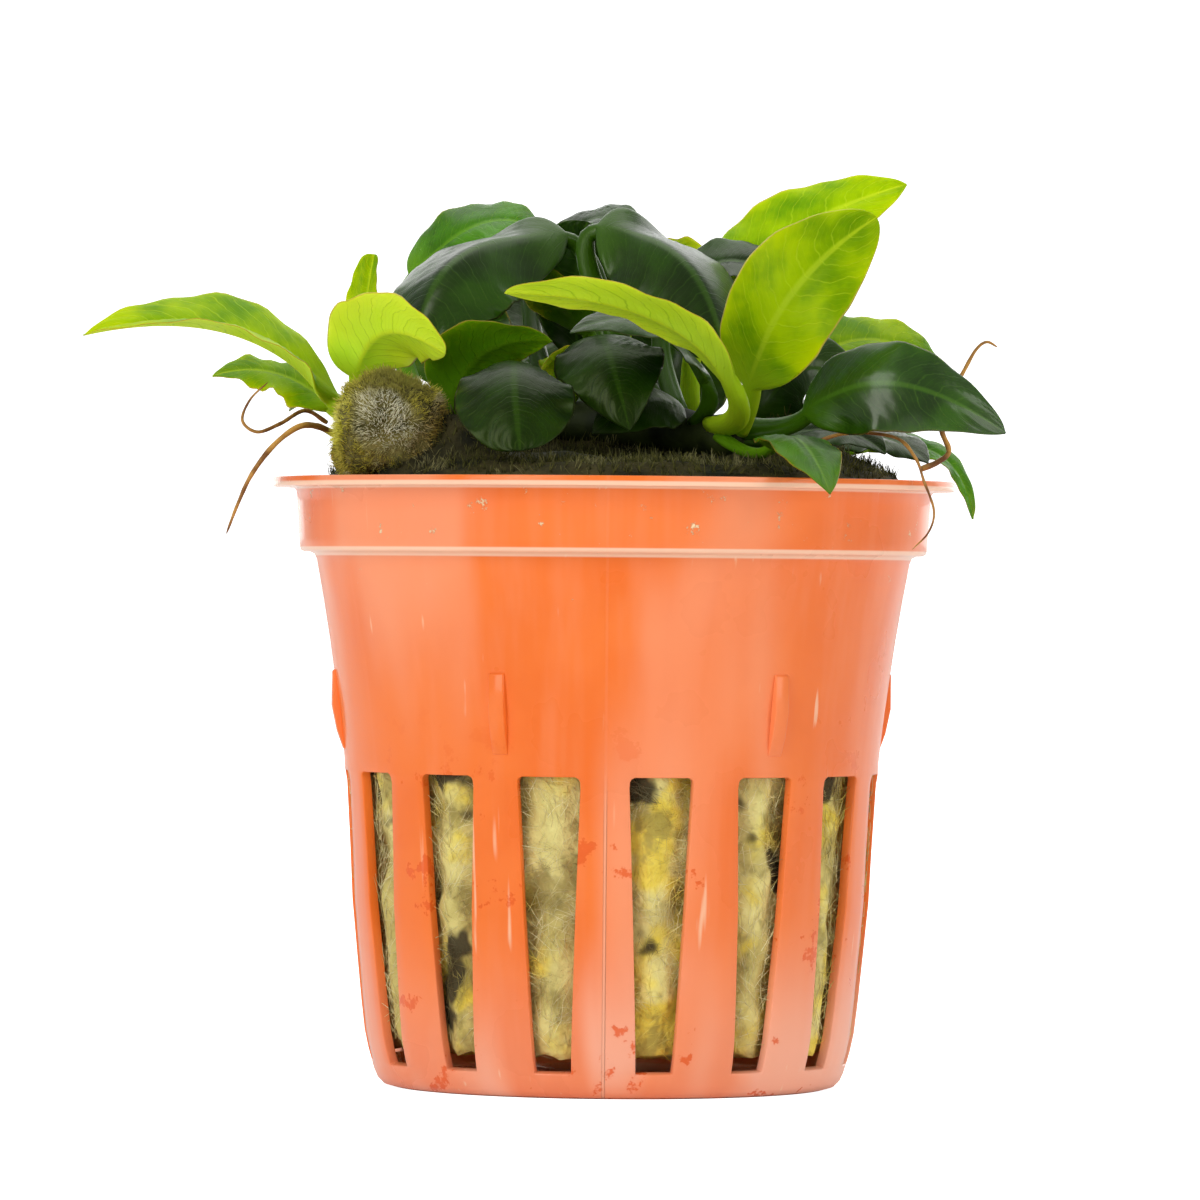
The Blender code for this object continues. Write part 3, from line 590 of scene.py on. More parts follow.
tree.links.new(math_node(tree, "ADD", seam, times(tree, lime, 0.4)), raised.inputs["Height"])
tree.links.new(skin.outputs["Normal"], raised.inputs["Normal"])
tree.links.new(raised.outputs["Normal"], shader.inputs["Normal"])
pot.data.materials.append(plastic)
print("pot plastic:", len(tree.nodes), "nodes")


# %% [markdown]
# ## Fibres by the thousand
#
# Rock wool and moss are both made of countless thin strands. Each strand could be a curve object,
# but thousands of objects are slow. Here all strands of a piece are worked out together: an array of
# starts, directions and bends gives every strand's middle line, and every point of it gets a small
# three-cornered ring. The result is one mesh of many closed thin tubes.


# %% The strand maker
def strands(starts, ways, bends, lengths, radii, segments, taper):
    """Closed three-sided tubes. A strand's middle line is start + way * s + bend * s^2, with s from
    0 to its length, and its radius shrinks from full to the taper's share of it."""
    s = np.linspace(0, 1, segments + 1)[None, :, None] * lengths[:, None, None]
    middle = starts[:, None, :] + ways[:, None, :] * s + bends[:, None, :] * s**2
    along = unit(ways[:, None, :] + 2 * bends[:, None, :] * s)
    side = unit(np.cross(along, [0.21, 0.55, 0.81]))
    up = np.cross(side, along)
    size = radii[:, None, None, None] * np.linspace(1, taper, segments + 1)[None, :, None, None]
    turn = np.radians([0, 120, 240])[None, None, :, None]
    ring = np.cos(turn) * side[:, :, None, :] + np.sin(turn) * up[:, :, None, :]
    points = (middle[:, :, None, :] + size * ring).reshape(-1, 3)
    per = 3 * (segments + 1)
    one = grid_faces(segments + 1, 3)
    base = np.arange(len(starts))[:, None, None] * per
    quads = (one[None] + base).reshape(-1, 4)
    ends = np.array([[2, 1, 0], [per - 3, per - 2, per - 1]])
    caps = (ends[None] + base).reshape(-1, 3)
    return points, quads.tolist() + caps.tolist(), per


# %% [markdown]
# ## The rock wool
#
# Rock wool is felted mineral fibre. A plain cylinder with a bump could stand for it, but every slot shows it
# from close by, where only real strands look right. Under the loose strands lies a lumpy plug, which swells a
# little into each slot and ends unevenly above the pot's floor. The strands lie along its surface, most of
# them leaning this way or that from upright. Their colour runs from straw to olive, with sunny yellow patches,
# and with dark patches of painted shade in its hollows and under the slots' top edges.

# %% The lumpy plug
WOOL_FOOT, WOOL_TOP, WOOL_GAP = 3.0, 46.6, 0.45
UNDER_FIBRES, SWELL, LUMPS, HOLLOWS = 0.35, 0.9, 0.4, 1.3
END_ROWS, SIDE_ROWS, PLUG_COLUMNS = 9, 70, 180
plug_height = np.concatenate([
    np.full(END_ROWS, WOOL_FOOT), np.linspace(WOOL_FOOT, WOOL_TOP, SIDE_ROWS),
    np.full(END_ROWS, WOOL_TOP),
])
shrink = np.concatenate([
    np.linspace(0.1, 0.93, END_ROWS), np.ones(SIDE_ROWS), np.linspace(0.98, 0.1, END_ROWS),
])
plug_angle = np.radians(np.linspace(0, 360, PLUG_COLUMNS, endpoint=False))[None, :]
plug_radius = ((wall_radius(plug_height) - POT_WALL - WOOL_GAP) * shrink)[:, None]
plug_points = on_circle(plug_radius, plug_angle, plug_height[:, None])
lump = wave_noise(plug_points.reshape(-1, 3), 3.4, 5).reshape(plug_points.shape[:2])
sunk = np.clip(wave_noise(plug_points.reshape(-1, 3), 9.0, 6).reshape(lump.shape) - 0.35, 0, 1)
lift_foot = np.clip((8.0 - plug_height[:, None]) / 5, 0, 1) * np.abs(lump) * 1.2


def slot_swell(angles):
    """1 in the middle of a slot and 0 behind a rib: minus the cosine of the angle, counted in ribs."""
    return np.clip(-np.cos(RIBS * (angles - np.radians(RIB_CENTRE))), 0, 1)


bulge = SWELL * slot_swell(plug_angle) + LUMPS * lump - HOLLOWS * sunk
plug_radius = plug_radius - UNDER_FIBRES + bulge * (shrink == 1)[:, None]
plug_points = on_circle(plug_radius, plug_angle, plug_height[:, None] + lift_foot)
plug = make_skin("rock_wool_felt", plug_points, "rock_wool", ["rock_wool_plug"])
print("wool plug:", len(plug.data.polygons), "faces")

# %% The loose fibres on the plug
WOOL_FIBRES, WALL_LEAN, FIBRE_SWELL, LOWEST_END = 13500, 0.083, 0.95, 2.6
FIBRE_HEIGHTS, FIBRE_LENGTHS, FIBRE_RADII = (4.0, 27.5), (0.8, 3.2), (0.014, 0.03)
turn = rng.uniform(0, 2 * np.pi, WOOL_FIBRES)
height = rng.uniform(*FIBRE_HEIGHTS, WOOL_FIBRES)
reach = wall_radius(height) - POT_WALL - rng.uniform(0.3, 0.95, WOOL_FIBRES)
reach += FIBRE_SWELL * slot_swell(turn)
starts = on_circle(reach, turn, height)
outward = unit(starts * [1, 1, 0])
tangent = np.stack([-outward[:, 1], outward[:, 0], 0 * turn], axis=-1)
slope = (2.4 * wave_noise(starts, 5.0, 31) + rng.normal(np.pi / 2, 0.7, WOOL_FIBRES))[:, None]
ways = np.cos(slope) * tangent + np.sin(slope) * (WALL_LEAN * outward + [0, 0, 1.0])
length = rng.uniform(*FIBRE_LENGTHS, WOOL_FIBRES)
length = np.where(starts[:, 2] + ways[:, 2] * length < LOWEST_END, 0.5, length)
bends = rng.normal(0, 0.12, (WOOL_FIBRES, 3)) * [1, 1, 0.6]
bends -= outward * ((bends * outward).sum(axis=1, keepdims=True) + 0.035)
radii = rng.uniform(*FIBRE_RADII, WOOL_FIBRES)
points, faces, per = strands(starts, ways, bends, length, radii, 2, 0.7)
fibre_tone = np.repeat(rng.random(WOOL_FIBRES), per)
wool = make_piece("rock_wool_fibres", points, faces, "rock_wool", values={"tone": fibre_tone})
print("wool fibres:", WOOL_FIBRES, "faces:", len(faces))

# %% Wool materials
def wool_colour(tree, place, colour, dark):
    """The wool's own colour with its sunny yellow and olive patches, and with painted shade: dark patches in
    its hollows, more of them under the wall, at a share of dark.
    """
    sunny = ramp_node(tree, noise_node(tree, place, 150.0, 3, 0.6), 0.48, 0.62, 0.0, 0.85)
    colour = mix_colour(tree, sunny, colour, (0.86, 0.68, 0.07))
    olive = ramp_node(tree, noise_node(tree, place, 210.0, 4, 0.65), 0.50, 0.62, 0.0, 0.7)
    colour = mix_colour(tree, olive, colour, (0.33, 0.26, 0.075))
    # Painted shade: near-black patches in the wool's hollows, with more of them from a little under the slots'
    # top edges upwards, where the wall above shades the wool.
    spot = tree.nodes.new("ShaderNodeSeparateXYZ")
    tree.links.new(place, spot.inputs[0])
    shade_under_wall = ramp_node(tree, spot.outputs["Z"], 0.0205, 0.0255, 0.0, 0.075)
    hollow_shade_mask = math_node(tree, "ADD", noise_node(tree, place, 120.0, 3, 0.6), shade_under_wall)
    painted_hollow_shade = ramp_node(tree, hollow_shade_mask, 0.63, 0.69, 0.0, dark)
    return mix_colour(tree, painted_hollow_shade, colour, (0.08, 0.065, 0.03))


felt, tree, shader, place = start_material("rock wool felt", 0.9, specular=0.15)
blotch = use_group(tree, patches, Vector=place, Scale=170.0).outputs[0]
colour = mix_colour(tree, blotch, (0.56, 0.47, 0.15), (0.88, 0.80, 0.32))
tree.links.new(wool_colour(tree, place, colour, 1.0), shader.inputs["Base Color"])
grainy_skin(tree, place, shader, 1600.0, 0.0003, 0.9)
plug.data.materials.append(felt)

fibre, tree, shader, place = start_material("rock wool fibre", 0.6, specular=0.25)
straw = mix_colour(tree, attribute_value(tree, "tone"), (0.60, 0.51, 0.17), (0.95, 0.90, 0.52))
tree.links.new(wool_colour(tree, place, straw, 0.9), shader.inputs["Base Color"])
wool.data.materials.append(fibre)

# %% [markdown]
# ## The stone
#
# The stone is a low, rounded body, rough and dark with damp, with a lump at its left front. A ball
# pushed in and out by smooth noise is the quickest way to such a shape, so it is made of two that
# reach into each other. Its foot is flat where it sits on the wool.


# %% A rough ball
def rough_ball(centre, radii, rows, columns, bumps, foot, boxy=2.0):
    """An ellipsoid: centre + radii * (cos a cos b, sin a cos b, sin b), moved outwards by the listed
    (height, wavelength, seed) noises, and cut flat at the foot's height. The way out is divided by
    its own length, counted with the power boxy: 2 leaves a ball, and more squares its shoulders."""
    rise = np.linspace(-np.pi / 2 * 0.98, np.pi / 2 * 0.98, rows)[:, None]
    turn = np.linspace(0, 2 * np.pi, columns, endpoint=False)[None, :]
    way = np.stack([np.cos(turn) * np.cos(rise), np.sin(turn) * np.cos(rise), np.sin(rise) + 0 * turn], -1)
    full = way / (np.abs(way) ** boxy).sum(axis=-1, keepdims=True) ** (1 / boxy)
    points = np.asarray(centre) + np.asarray(radii) * full
    for amount, size, seed in bumps:
        noise = wave_noise(points.reshape(-1, 3), size, seed).reshape(rows, columns, 1)
        points = points + way * amount * noise
    points[..., 2] = np.maximum(points[..., 2], foot)
    return points


# %% The stone and its finish
STONE_FOOT = 46.95
LUMP_CENTRE = (-17.9, -10.2, 52.4)
BODY_CENTRE, BODY_RADII, LUMP_RADII = (-8.0, -4.0, 49.0), (13.5, 9.5, 2.2), (3.6, 3.5, 3.8)
body = rough_ball(BODY_CENTRE, BODY_RADII, 40, 90, [(0.4, 6.0, 1), (0.12, 1.6, 2)], STONE_FOOT)
lump = rough_ball(LUMP_CENTRE, LUMP_RADII, 44, 60, [(0.4, 4.0, 3), (0.12, 1.3, 4)], STONE_FOOT)
faces, points, base = [], [], 0
for part in (body, lump):
    shape = part.shape[:2]
    faces += (grid_faces(*shape) + base).tolist()
    faces += [[i + base for i in fan] for fan in closing_fans(*shape)]
    points.append(part.reshape(-1, 3))
    base += len(points[-1])
stone = make_piece("stone_rough", np.concatenate(points), faces, "stone", ["stone"])

stone.data.materials.append(earthy_finish(
    "damp stone", 0.55, 0.5, 300.0, (0.035, 0.033, 0.022), (0.12, 0.11, 0.07), (1200.0, 0.0002, 0.8),
))
print("stone:", len(stone.data.polygons), "faces")

# %% [markdown]
# ## The moss
#
# The moss is a low mat over the wool and a thick coat over the stone's lump. Under the shoots lies a
# dark, lumpy base, because no light reaches the bottom of real moss. The shoots stand out of it in
# tufts: short, curved, olive to yellow-green, and on the lump pale and dry in the middle. Blender's
# hair could grow them, but the strand maker gives plain closed meshes, the same in every run.

# %% The mat and the coat under the shoots
MAT_RADIUS, MAT_FOOT = 23.6, 46.95
TOP_ROWS, EDGE_ROWS, UNDER_ROWS = 60, 6, 12
MAT_PROFILE = [0, 14, 20.5, 23, MAT_RADIUS], [50.1, 50.2, 50.0, 49.2, 48.0]
MOUNDS = [(-13.0, -10.8, 3.4, 3.2, 4.0), (15.0, -2.0, 3.2, 3.0, 3.4)]
top_radius = np.linspace(0.4, MAT_RADIUS, TOP_ROWS)
ring_radius = np.concatenate([
    top_radius, np.full(EDGE_ROWS, MAT_RADIUS), np.linspace(22, 0.4, UNDER_ROWS),
])
ring_height = np.concatenate([
    np.interp(top_radius, *MAT_PROFILE), np.linspace(47.8, MAT_FOOT, EDGE_ROWS),
    np.full(UNDER_ROWS, MAT_FOOT),
])
turn = np.linspace(0, 2 * np.pi, 140, endpoint=False)[None, :]
mat_points = on_circle(ring_radius[:, None], turn, ring_height[:, None])
x, y = mat_points[..., 0], mat_points[..., 1]
ripple = wave_noise(mat_points.reshape(-1, 3) * [1, 1, 0], 4.0, 11).reshape(mat_points.shape[:2])
ridge = np.exp(-(((y - 1.0) / 5.0) ** 2) - (x / 17.0) ** 4)
swell = 0.32 * ripple + 2.3 * ridge
for mound_x, mound_y, half_x, half_y, high in MOUNDS:
    swell += high * np.exp(-(((x - mound_x) / half_x) ** 2) - ((y - mound_y) / half_y) ** 2)
on_top = (np.arange(len(ring_radius)) < TOP_ROWS)[:, None]
mat_points[..., 2] += on_top * swell
mat = make_skin("moss_mat", mat_points, "moss", ["moss_bed"])

COAT_RADII, COAT_FOOT, COAT_BUMPS = (4.2, 4.1, 4.2), 49.4, [(0.55, 3.6, 3), (0.2, 1.2, 5)]
coat_points = rough_ball(LUMP_CENTRE, COAT_RADII, 50, 80, COAT_BUMPS, COAT_FOOT, boxy=3.0)
coat = make_skin("moss_coat", coat_points, "moss", ["moss_cap"])
print("moss bases:", len(mat.data.polygons) + len(coat.data.polygons), "faces")


# %% Shoots in tufts
def tufted(surface, normals, count, length, lean, seed):
    """Strands on random points of a surface. Each leans from the normal by a smooth noise field,
    which gathers neighbours into tufts, and a little of its own."""
    source = np.random.default_rng(seed)
    pick = source.integers(0, len(surface), count)
    starts = surface[pick] + source.normal(0, 0.13, (count, 3))
    field = np.stack([wave_noise(starts, 2.2, seed + i) for i in (1, 2, 3)], axis=-1)
    ways = unit(normals[pick] + lean * field + source.normal(0, 0.3, (count, 3)))
    lengths = source.uniform(*length, count)
    bends = source.normal(0, 0.16, (count, 3)) + [0, 0, 0.05]
    return starts - 0.2 * normals[pick], ways, bends, lengths


def make_shoots(name, surface, normals, count, length, lean, seed, radius, segments, taper):
    """A piece of many shoots. Each gets a tone of its own, and its points how far up it they are."""
    tufts = tufted(surface, normals, count, length, lean, seed)
    points, faces, per = strands(*tufts, rng.uniform(*radius, count), segments, taper)
    tone = np.repeat(rng.random(count), per)
    rise = np.tile(np.repeat(np.linspace(0, 1, segments + 1), 3), count)
    print(name, count, "shoots")
    return make_piece(name, points, faces, "moss", values={"tone": tone, "rise": rise})


# The rings of the mat's grid crowd towards its middle, so points are kept in step with the radius.
SHOOT_ROWS, BARE_ROWS, COAT_NORMAL_RADII = 58, 8, np.array([4.4, 4.3, 4.6])
mat_top = mat_points[:SHOOT_ROWS].reshape(-1, 3)
kept_share = np.repeat(ring_radius[:SHOOT_ROWS], mat_points.shape[1]) / MAT_RADIUS
mat_top = mat_top[np.random.default_rng(3).random(len(mat_top)) < kept_share]
up = np.tile([0.0, 0.0, 1.0], (len(mat_top), 1))
mat_shoots = make_shoots(
    "moss_mat_shoots", mat_top, up, 13500, (0.4, 1.1), 1.0, 40, (0.03, 0.065), 2, 0.35
)
coat_top = coat_points[BARE_ROWS:].reshape(-1, 3)
coat_normals = unit((coat_top - LUMP_CENTRE) / COAT_NORMAL_RADII**2)
lump_shoots = make_shoots(
    "moss_coat_shoots", coat_top, coat_normals, 23500, (0.3, 0.8), 0.9, 60, (0.02, 0.042), 1, 0.4
)

# %% Finishes of the moss bases
CRUMBS = (1500.0, 0.0003, 0.9)
mat.data.materials.append(earthy_finish(
    "moss base", 0.9, 0.2, 350.0, (0.012, 0.012, 0.004), (0.06, 0.05, 0.015), CRUMBS,
))
coat.data.materials.append(earthy_finish(
    "moss base of the lump", 0.9, 0.1, 420.0, (0.05, 0.045, 0.012), (0.22, 0.19, 0.06), CRUMBS,
))
print("moss bases: crumbs", CRUMBS)


# %% Finishes of the shoots
def moss_material(name, deep, fresh, pale, pale_low, pale_high, spots=()):
    """Shoots that go from deep at the foot to fresh at the tip, with pale patches between two levels
    of a slow noise, and round spots of a colour of their own: (centre in mm, radius in mm, colour)."""
    made, tree, shader, place = start_material(name, 0.8, specular=0.15)
    tone, rise = attribute_value(tree, "tone"), attribute_value(tree, "rise")
    share = times(tree, math_node(tree, "MULTIPLY_ADD", rise, 0.6, 0.4), tone)
    colour = mix_colour(tree, share, deep, fresh)
    rough = noise_node(tree, place, 230.0, 3, 0.6)
    dry = ramp_node(tree, rough, pale_low, pale_high, 0.0, 0.9)
    tip = math_node(tree, "MULTIPLY_ADD", tone, 0.6, 0.4)
    colour = mix_colour(tree, times(tree, dry, tip), colour, pale)
    for centre, radius, own in spots:
        away = tree.nodes.new("ShaderNodeVectorMath")
        away.operation = "DISTANCE"
        tree.links.new(place, away.inputs[0])
        away.inputs[1].default_value = [c * MM for c in centre]
        ragged = math_node(tree, "MULTIPLY_ADD", rough, -0.004, away.outputs["Value"])
        near = ramp_node(tree, ragged, (radius - 3.0) * MM, (radius - 1.6) * MM, 0.95, 0.0)
        colour = mix_colour(tree, times(tree, near, tip), colour, own)
    tree.links.new(colour, shader.inputs["Base Color"])
    return made


mat_shoots.data.materials.append(moss_material(
    "moss of the mat", (0.028, 0.030, 0.008), (0.13, 0.125, 0.025), (0.28, 0.26, 0.12), 0.52, 0.66,
))
LUMP_SPOTS = [
    ((-17.0, -13.0, 57.5), 3.2, (0.24, 0.22, 0.05)),
    ((-12.5, -12.0, 50.5), 4.6, (0.42, 0.29, 0.07)),
    ((-22.0, -11.5, 53.5), 2.6, (0.78, 0.74, 0.08)),
    ((-18.3, -14.6, 53.4), 2.5, (0.98, 0.96, 0.80)),
]
lump_shoots.data.materials.append(moss_material(
    "moss of the lump", (0.24, 0.21, 0.035), (0.74, 0.65, 0.09), (0.95, 0.90, 0.60), 0.55, 0.66,
    LUMP_SPOTS,
))
print("moss finishes: mat and lump, with", len(LUMP_SPOTS), "spots")

# %% [markdown]
# ## Creeping stems and roots
#
# The plant creeps on a thick green stem, the rhizome, with a ring at every old leaf. Thin wiry roots
# leave it and grope for a hold. Both are round sections carried along a smooth route, and both get
# their character from how the radius changes: in steps at the rings, and in small waves on a root.

# %% Stems
RHIZOMES = {
    "rhizome_main": [
        (-20.6, 0.2, 53.4, 1.2), (-15.0, 1.0, 53.6, 1.6), (-7.0, 1.2, 53.8, 1.7), (1.0, -0.8, 53.4, 1.7),
        (6.4, -4.4, 52.8, 1.7), (10.0, -8.2, 52.3, 1.4),
    ],
    "rhizome_side_shoot": [(3.6, 2.0, 53.0, 1.2), (8.0, 5.2, 52.9, 1.5), (13.0, 7.4, 52.8, 1.2)],
}
bark = earthy_finish(
    "rhizome skin", 0.6, 0.2, 320.0, (0.008, 0.013, 0.002), (0.035, 0.05, 0.008), (1400.0, 0.0001, 0.6)
)
for name, stations in RHIZOMES.items():
    route = smooth_route(stations, 26)
    along = np.linspace(0, 1, len(route))
    rings = 1 + 0.09 * np.abs(np.sin(along * len(route) / 7.0)) ** 6
    ends = np.sqrt(np.clip(1 - (2 * along - 1) ** 20, 0.02, 1))
    skin = tube_points(route[:, :3], route[:, 3] * rings * ends, 24)
    stem = make_skin(name + "_skin", skin, "rhizome", [name])
    stem.data.materials.append(bark)
    print(name, len(route), "rings of points")

# %% Roots
ROOTS = {
    "root_left_hanging": (0.27, [
        (-22.3, -4.4, 52.3), (-23.8, -6.0, 53.0), (-25.3, -7.6, 52.9), (-27.2, -8.6, 51.4),
        (-28.9, -9.0, 49.1), (-30.0, -9.1, 46.7), (-30.9, -9.0, 44.3),
    ]),
    "root_left_curled": (0.18, [
        (-23.2, -2.2, 53.4), (-24.9, -3.8, 54.3), (-26.8, -5.6, 53.2), (-28.6, -6.6, 52.5),
        (-29.8, -6.6, 53.4), (-29.2, -6.4, 55.1), (-27.8, -6.2, 56.5),
    ]),
    "root_left_down": (0.16, [
        (-21.6, -5.0, 52.0), (-22.4, -6.8, 51.4), (-22.5, -7.4, 50.4), (-21.9, -7.6, 49.9),
    ]),
    "root_right_hanging": (0.15, [
        (15.0, -11.2, 51.6), (18.4, -12.0, 52.7), (22.2, -13.2, 52.4), (23.8, -14.2, 50.8),
        (24.5, -14.8, 48.9), (25.3, -14.8, 46.6), (24.9, -14.8, 44.9), (23.6, -15.4, 43.5),
    ]),
    "root_right_rising": (0.24, [
        (24.9, 1.8, 50.1), (26.3, 2.4, 50.7), (27.2, 2.8, 51.6), (26.6, 3.0, 53.4),
        (26.9, 3.2, 55.6), (28.2, 3.2, 57.8), (29.3, 3.2, 59.8), (30.2, 3.2, 60.5), (31.1, 3.2, 60.1),
    ]),
    "root_back_left": (0.25, [
        (-10.0, 3.9, 52.8), (-12.6, 8.6, 52.3), (-15.0, 13.6, 51.3), (-17.3, 17.9, 50.9),
        (-18.9, 21.0, 50.0), (-19.5, 22.6, 47.4), (-19.6, 23.3, 44.0), (-18.9, 23.0, 41.0),
    ]),
    "root_back_right": (0.22, [
        (7.6, 7.6, 52.6), (9.6, 12.0, 51.9), (12.2, 16.4, 51.2), (14.0, 20.2, 51.0),
        (15.4, 24.2, 50.0), (16.0, 25.4, 47.0), (15.0, 26.2, 44.4),
    ]),
}
rooty = earthy_finish(
    "root skin", 0.5, 0.25, 420.0, (0.16, 0.06, 0.015), (0.62, 0.32, 0.07), (2600.0, 0.0001, 0.7)
)
for number, (name, (radius, stations)) in enumerate(ROOTS.items()):
    route = smooth_route(stations, 14)
    along = np.linspace(0, 1, len(route))
    wobble = 1 + 0.12 * wave_noise(route, 1.1, 80 + number)
    ends = np.sqrt(np.clip(1 - along**30, 0.05, 1))
    skin = tube_points(route, radius * (1 - 0.6 * along**1.5) * wobble * ends, 12)
    root = make_skin(name + "_skin", skin, "root", [name])
    root.data.materials.append(rooty)
print("stems and roots:", len(RHIZOMES) + len(ROOTS))

# %% [markdown]
# ## The leaves: one formula, thirty-four times over
#
# An anubias leaf is a thick, smooth blade on a short stalk. Its midrib bends along one plain curve,
# and the two halves of the blade rise from the midrib, each by its own angle, and arch a little.
# Three points place the midrib: the heel, where the blade begins, the crest and the tip. A facing
# direction turns the blade round it. The stalk is another plain curve, from a point on the creeping
# stem to the heel, and it arrives in the blade's own direction.
#
# The whole skin is one wrapped grid: up one side of the section and back on the other, row by row
# from the stalk's foot to the tip. So the margins are closed without a seam.

# %% What is noted of a leaf
LEAVES = {}


def leaf(name, stem, share, heel, crest, tip, face, width, lift=(10, 10), bow=0.12,
         ends=(0.55, 0.8), stalk=0.6, finish="leaf_mature", shade=0.0, wave=0.26):
    """Notes a leaf: its stem and place on it, the three points of its midrib, the way it faces, its full
    width, the rise of its halves in degrees, its arch, the shape of its two ends, half its stalk's width, its
    finish, how light it is, and how wavy its margin is. How light it is holds the leaf's own tone and painted
    light and shade: lower for leaves that sit in shade, higher for leaves lit from behind."""
    shape = (stem, share, heel, crest, tip, face, width, lift, bow, ends, stalk, wave)
    LEAVES[name] = (shape, finish, shade)


MAIN, SIDE = "rhizome_main", "rhizome_side_shoot"
YOUNG, GREEN = "leaf_young", "leaf_green"

# %% The leaves on the left
leaf("leaf_left_long", MAIN, 0.02, (-22.6, -2.6, 55), (-30.9, -4.5, 60.6), (-42.6, -7, 60.2),
     (0.1, -0.36, 1), 10.5, (28, 22), ends=(0.75, 0.95), stalk=0.75, finish=YOUNG, shade=0.05)
leaf("leaf_left_low", MAIN, 0.0, (-22.9, 1, 54.6), (-27.5, 1.4, 57.4), (-32.6, 0.6, 57.2),
     (0, -0.55, 1), 6.2, (5, 5), bow=0.15, finish=YOUNG, shade=0.1, wave=0.4)
leaf("leaf_left_small", MAIN, 0.05, (-22, 4.4, 54.6), (-24.3, 6.4, 55.5), (-26.7, 8.2, 54.6),
     (0, -0.3, 1), 4, finish=GREEN)
leaf("leaf_upright_young", MAIN, 0.12, (-20.2, 4, 58), (-20.3, 4.6, 62.5), (-19.7, 5, 67.3),
     (-0.9, -1, 0), 4, (30, 30), ends=(0.3, 0.35), finish=YOUNG)
leaf("leaf_front_left_cupped", MAIN, 0.15, (-20.8, -3.8, 57.2), (-18.4, -9, 60.6), (-13.4, -12.6, 58.8),
     (0.1, 0.6, 1), 8.6, (0, 30), bow=0.15, ends=(0.5, 0.6), finish=YOUNG, shade=0.45)
leaf("leaf_front_left_green", MAIN, 0.25, (-13.2, -3.8, 54.8), (-10.4, -6.6, 59.2), (-5, -8.4, 60),
     (0.4, 0.7, 1), 7.4, (10, 0), finish=GREEN)
print("leaves so far:", len(LEAVES))

# %% The leaves over the middle
leaf("leaf_top_left_dark", MAIN, 0.57, (-4.2, 1.6, 68.5), (-12.4, -3.6, 67), (-15.8, -6.6, 60.2),
     (0, -1, 0.8), 12.4, (-5, -42), bow=0.1, ends=(0.5, 0.42), stalk=0.7)
leaf("leaf_top_left_back", MAIN, 0.18, (-16.6, 8, 65.4), (-11.4, 7.6, 69.8), (-6.1, 6.2, 69.5),
     (0, -0.7, 1), 7.6, (5, 5), finish=GREEN, shade=0.3)
leaf("leaf_top_middle_back", MAIN, 0.45, (-6, 12.6, 67), (-1.3, 11.4, 70.7), (3, 9.6, 68.4),
     (0, -0.5, 1), 6, (5, 5))
leaf("leaf_top_middle_wet", MAIN, 0.69, (-1.4, -2.6, 69), (5.4, -6, 66.6), (8.8, -9, 58.6),
     (0, -1, 0.8), 12.2, (-42, -5), bow=0.1, ends=(0.45, 0.45), stalk=0.7)
leaf("leaf_top_right_dark", MAIN, 0.73, (5, 4.8, 64.6), (9.8, 3.6, 66.9), (14.6, 2.2, 64),
     (0, -0.7, 1), 6.4)
leaf("leaf_inner_left", MAIN, 0.52, (-2.2, 4.6, 61), (-6.6, 1.6, 64.8), (-11.4, -0.8, 62.6),
     (0.1, 0.5, 1), 6.4, (5, 5), finish=GREEN, shade=-0.4)
leaf("leaf_inner_low", MAIN, 0.34, (-8.6, 2.6, 57), (-11.8, 1.6, 60.6), (-15.2, 0.4, 59.8),
     (0.1, -0.4, 1), 4.8)
leaf("leaf_inner_bright", MAIN, 0.44, (-3.4, -0.6, 56.4), (-4.4, -2.6, 58.8), (-6, -4.4, 57.6),
     (0, 0.6, 1), 4.4, finish=YOUNG)
print("leaves so far:", len(LEAVES))

# %% The low leaves at the front
leaf("leaf_front_dark", MAIN, 0.40, (-7.8, -10, 57.6), (-8, -16.2, 57), (-7.4, -20.4, 51),
     (0, -1, 0.7), 9.8, (-12, -12), bow=0.1, ends=(0.75, 0.45), shade=-0.5)
leaf("leaf_front_hanging", MAIN, 0.58, (-1, -6.2, 60), (-0.4, -11.2, 58.6), (1.2, -13.8, 52.8),
     (0, -1, 0.5), 9, (-8, -8), shade=-0.5)
leaf("leaf_front_black", MAIN, 0.74, (4.6, -4.8, 55), (2.4, -8.2, 55.4), (-1.8, -9.8, 52.6),
     (0, -1, 0.9), 6.6, (-5, -5), shade=-0.5)
leaf("leaf_front_band", MAIN, 0.83, (7.2, -10, 56.8), (2.6, -14.4, 61.2), (-3.6, -17.8, 60.4),
     (0, -0.5, 1), 6, (0, 0))
print("leaves so far:", len(LEAVES))

# %% The bright leaves, and those on the right
leaf("leaf_bright_arching", MAIN, 0.92, (9.4, -15.4, 56.0), (3.0, -20.8, 61.5), (-8.7, -23.6, 63.3),
     (0.3, 0.5, 1), 5.5, (20, 10), ends=(0.85, 0.6), stalk=0.8, finish=YOUNG, shade=-0.05)
leaf("leaf_bright_large", MAIN, 1.0, (10.9, -12, 56.4), (13.9, -15.8, 63.6), (20.6, -14.4, 69.8),
     (-0.3, -1, 0.1), 9.4, (8, 8), ends=(0.5, 0.6), stalk=0.8, finish=YOUNG, shade=-0.15)
leaf("leaf_bright_back", SIDE, 0.30, (8.8, 6.6, 65.6), (15.6, 7.4, 70.2), (23.8, 8.6, 73.6),
     (-0.5, -1, 0.5), 8.4, (5, 5), ends=(0.42, 0.75), finish=YOUNG, shade=0.25)
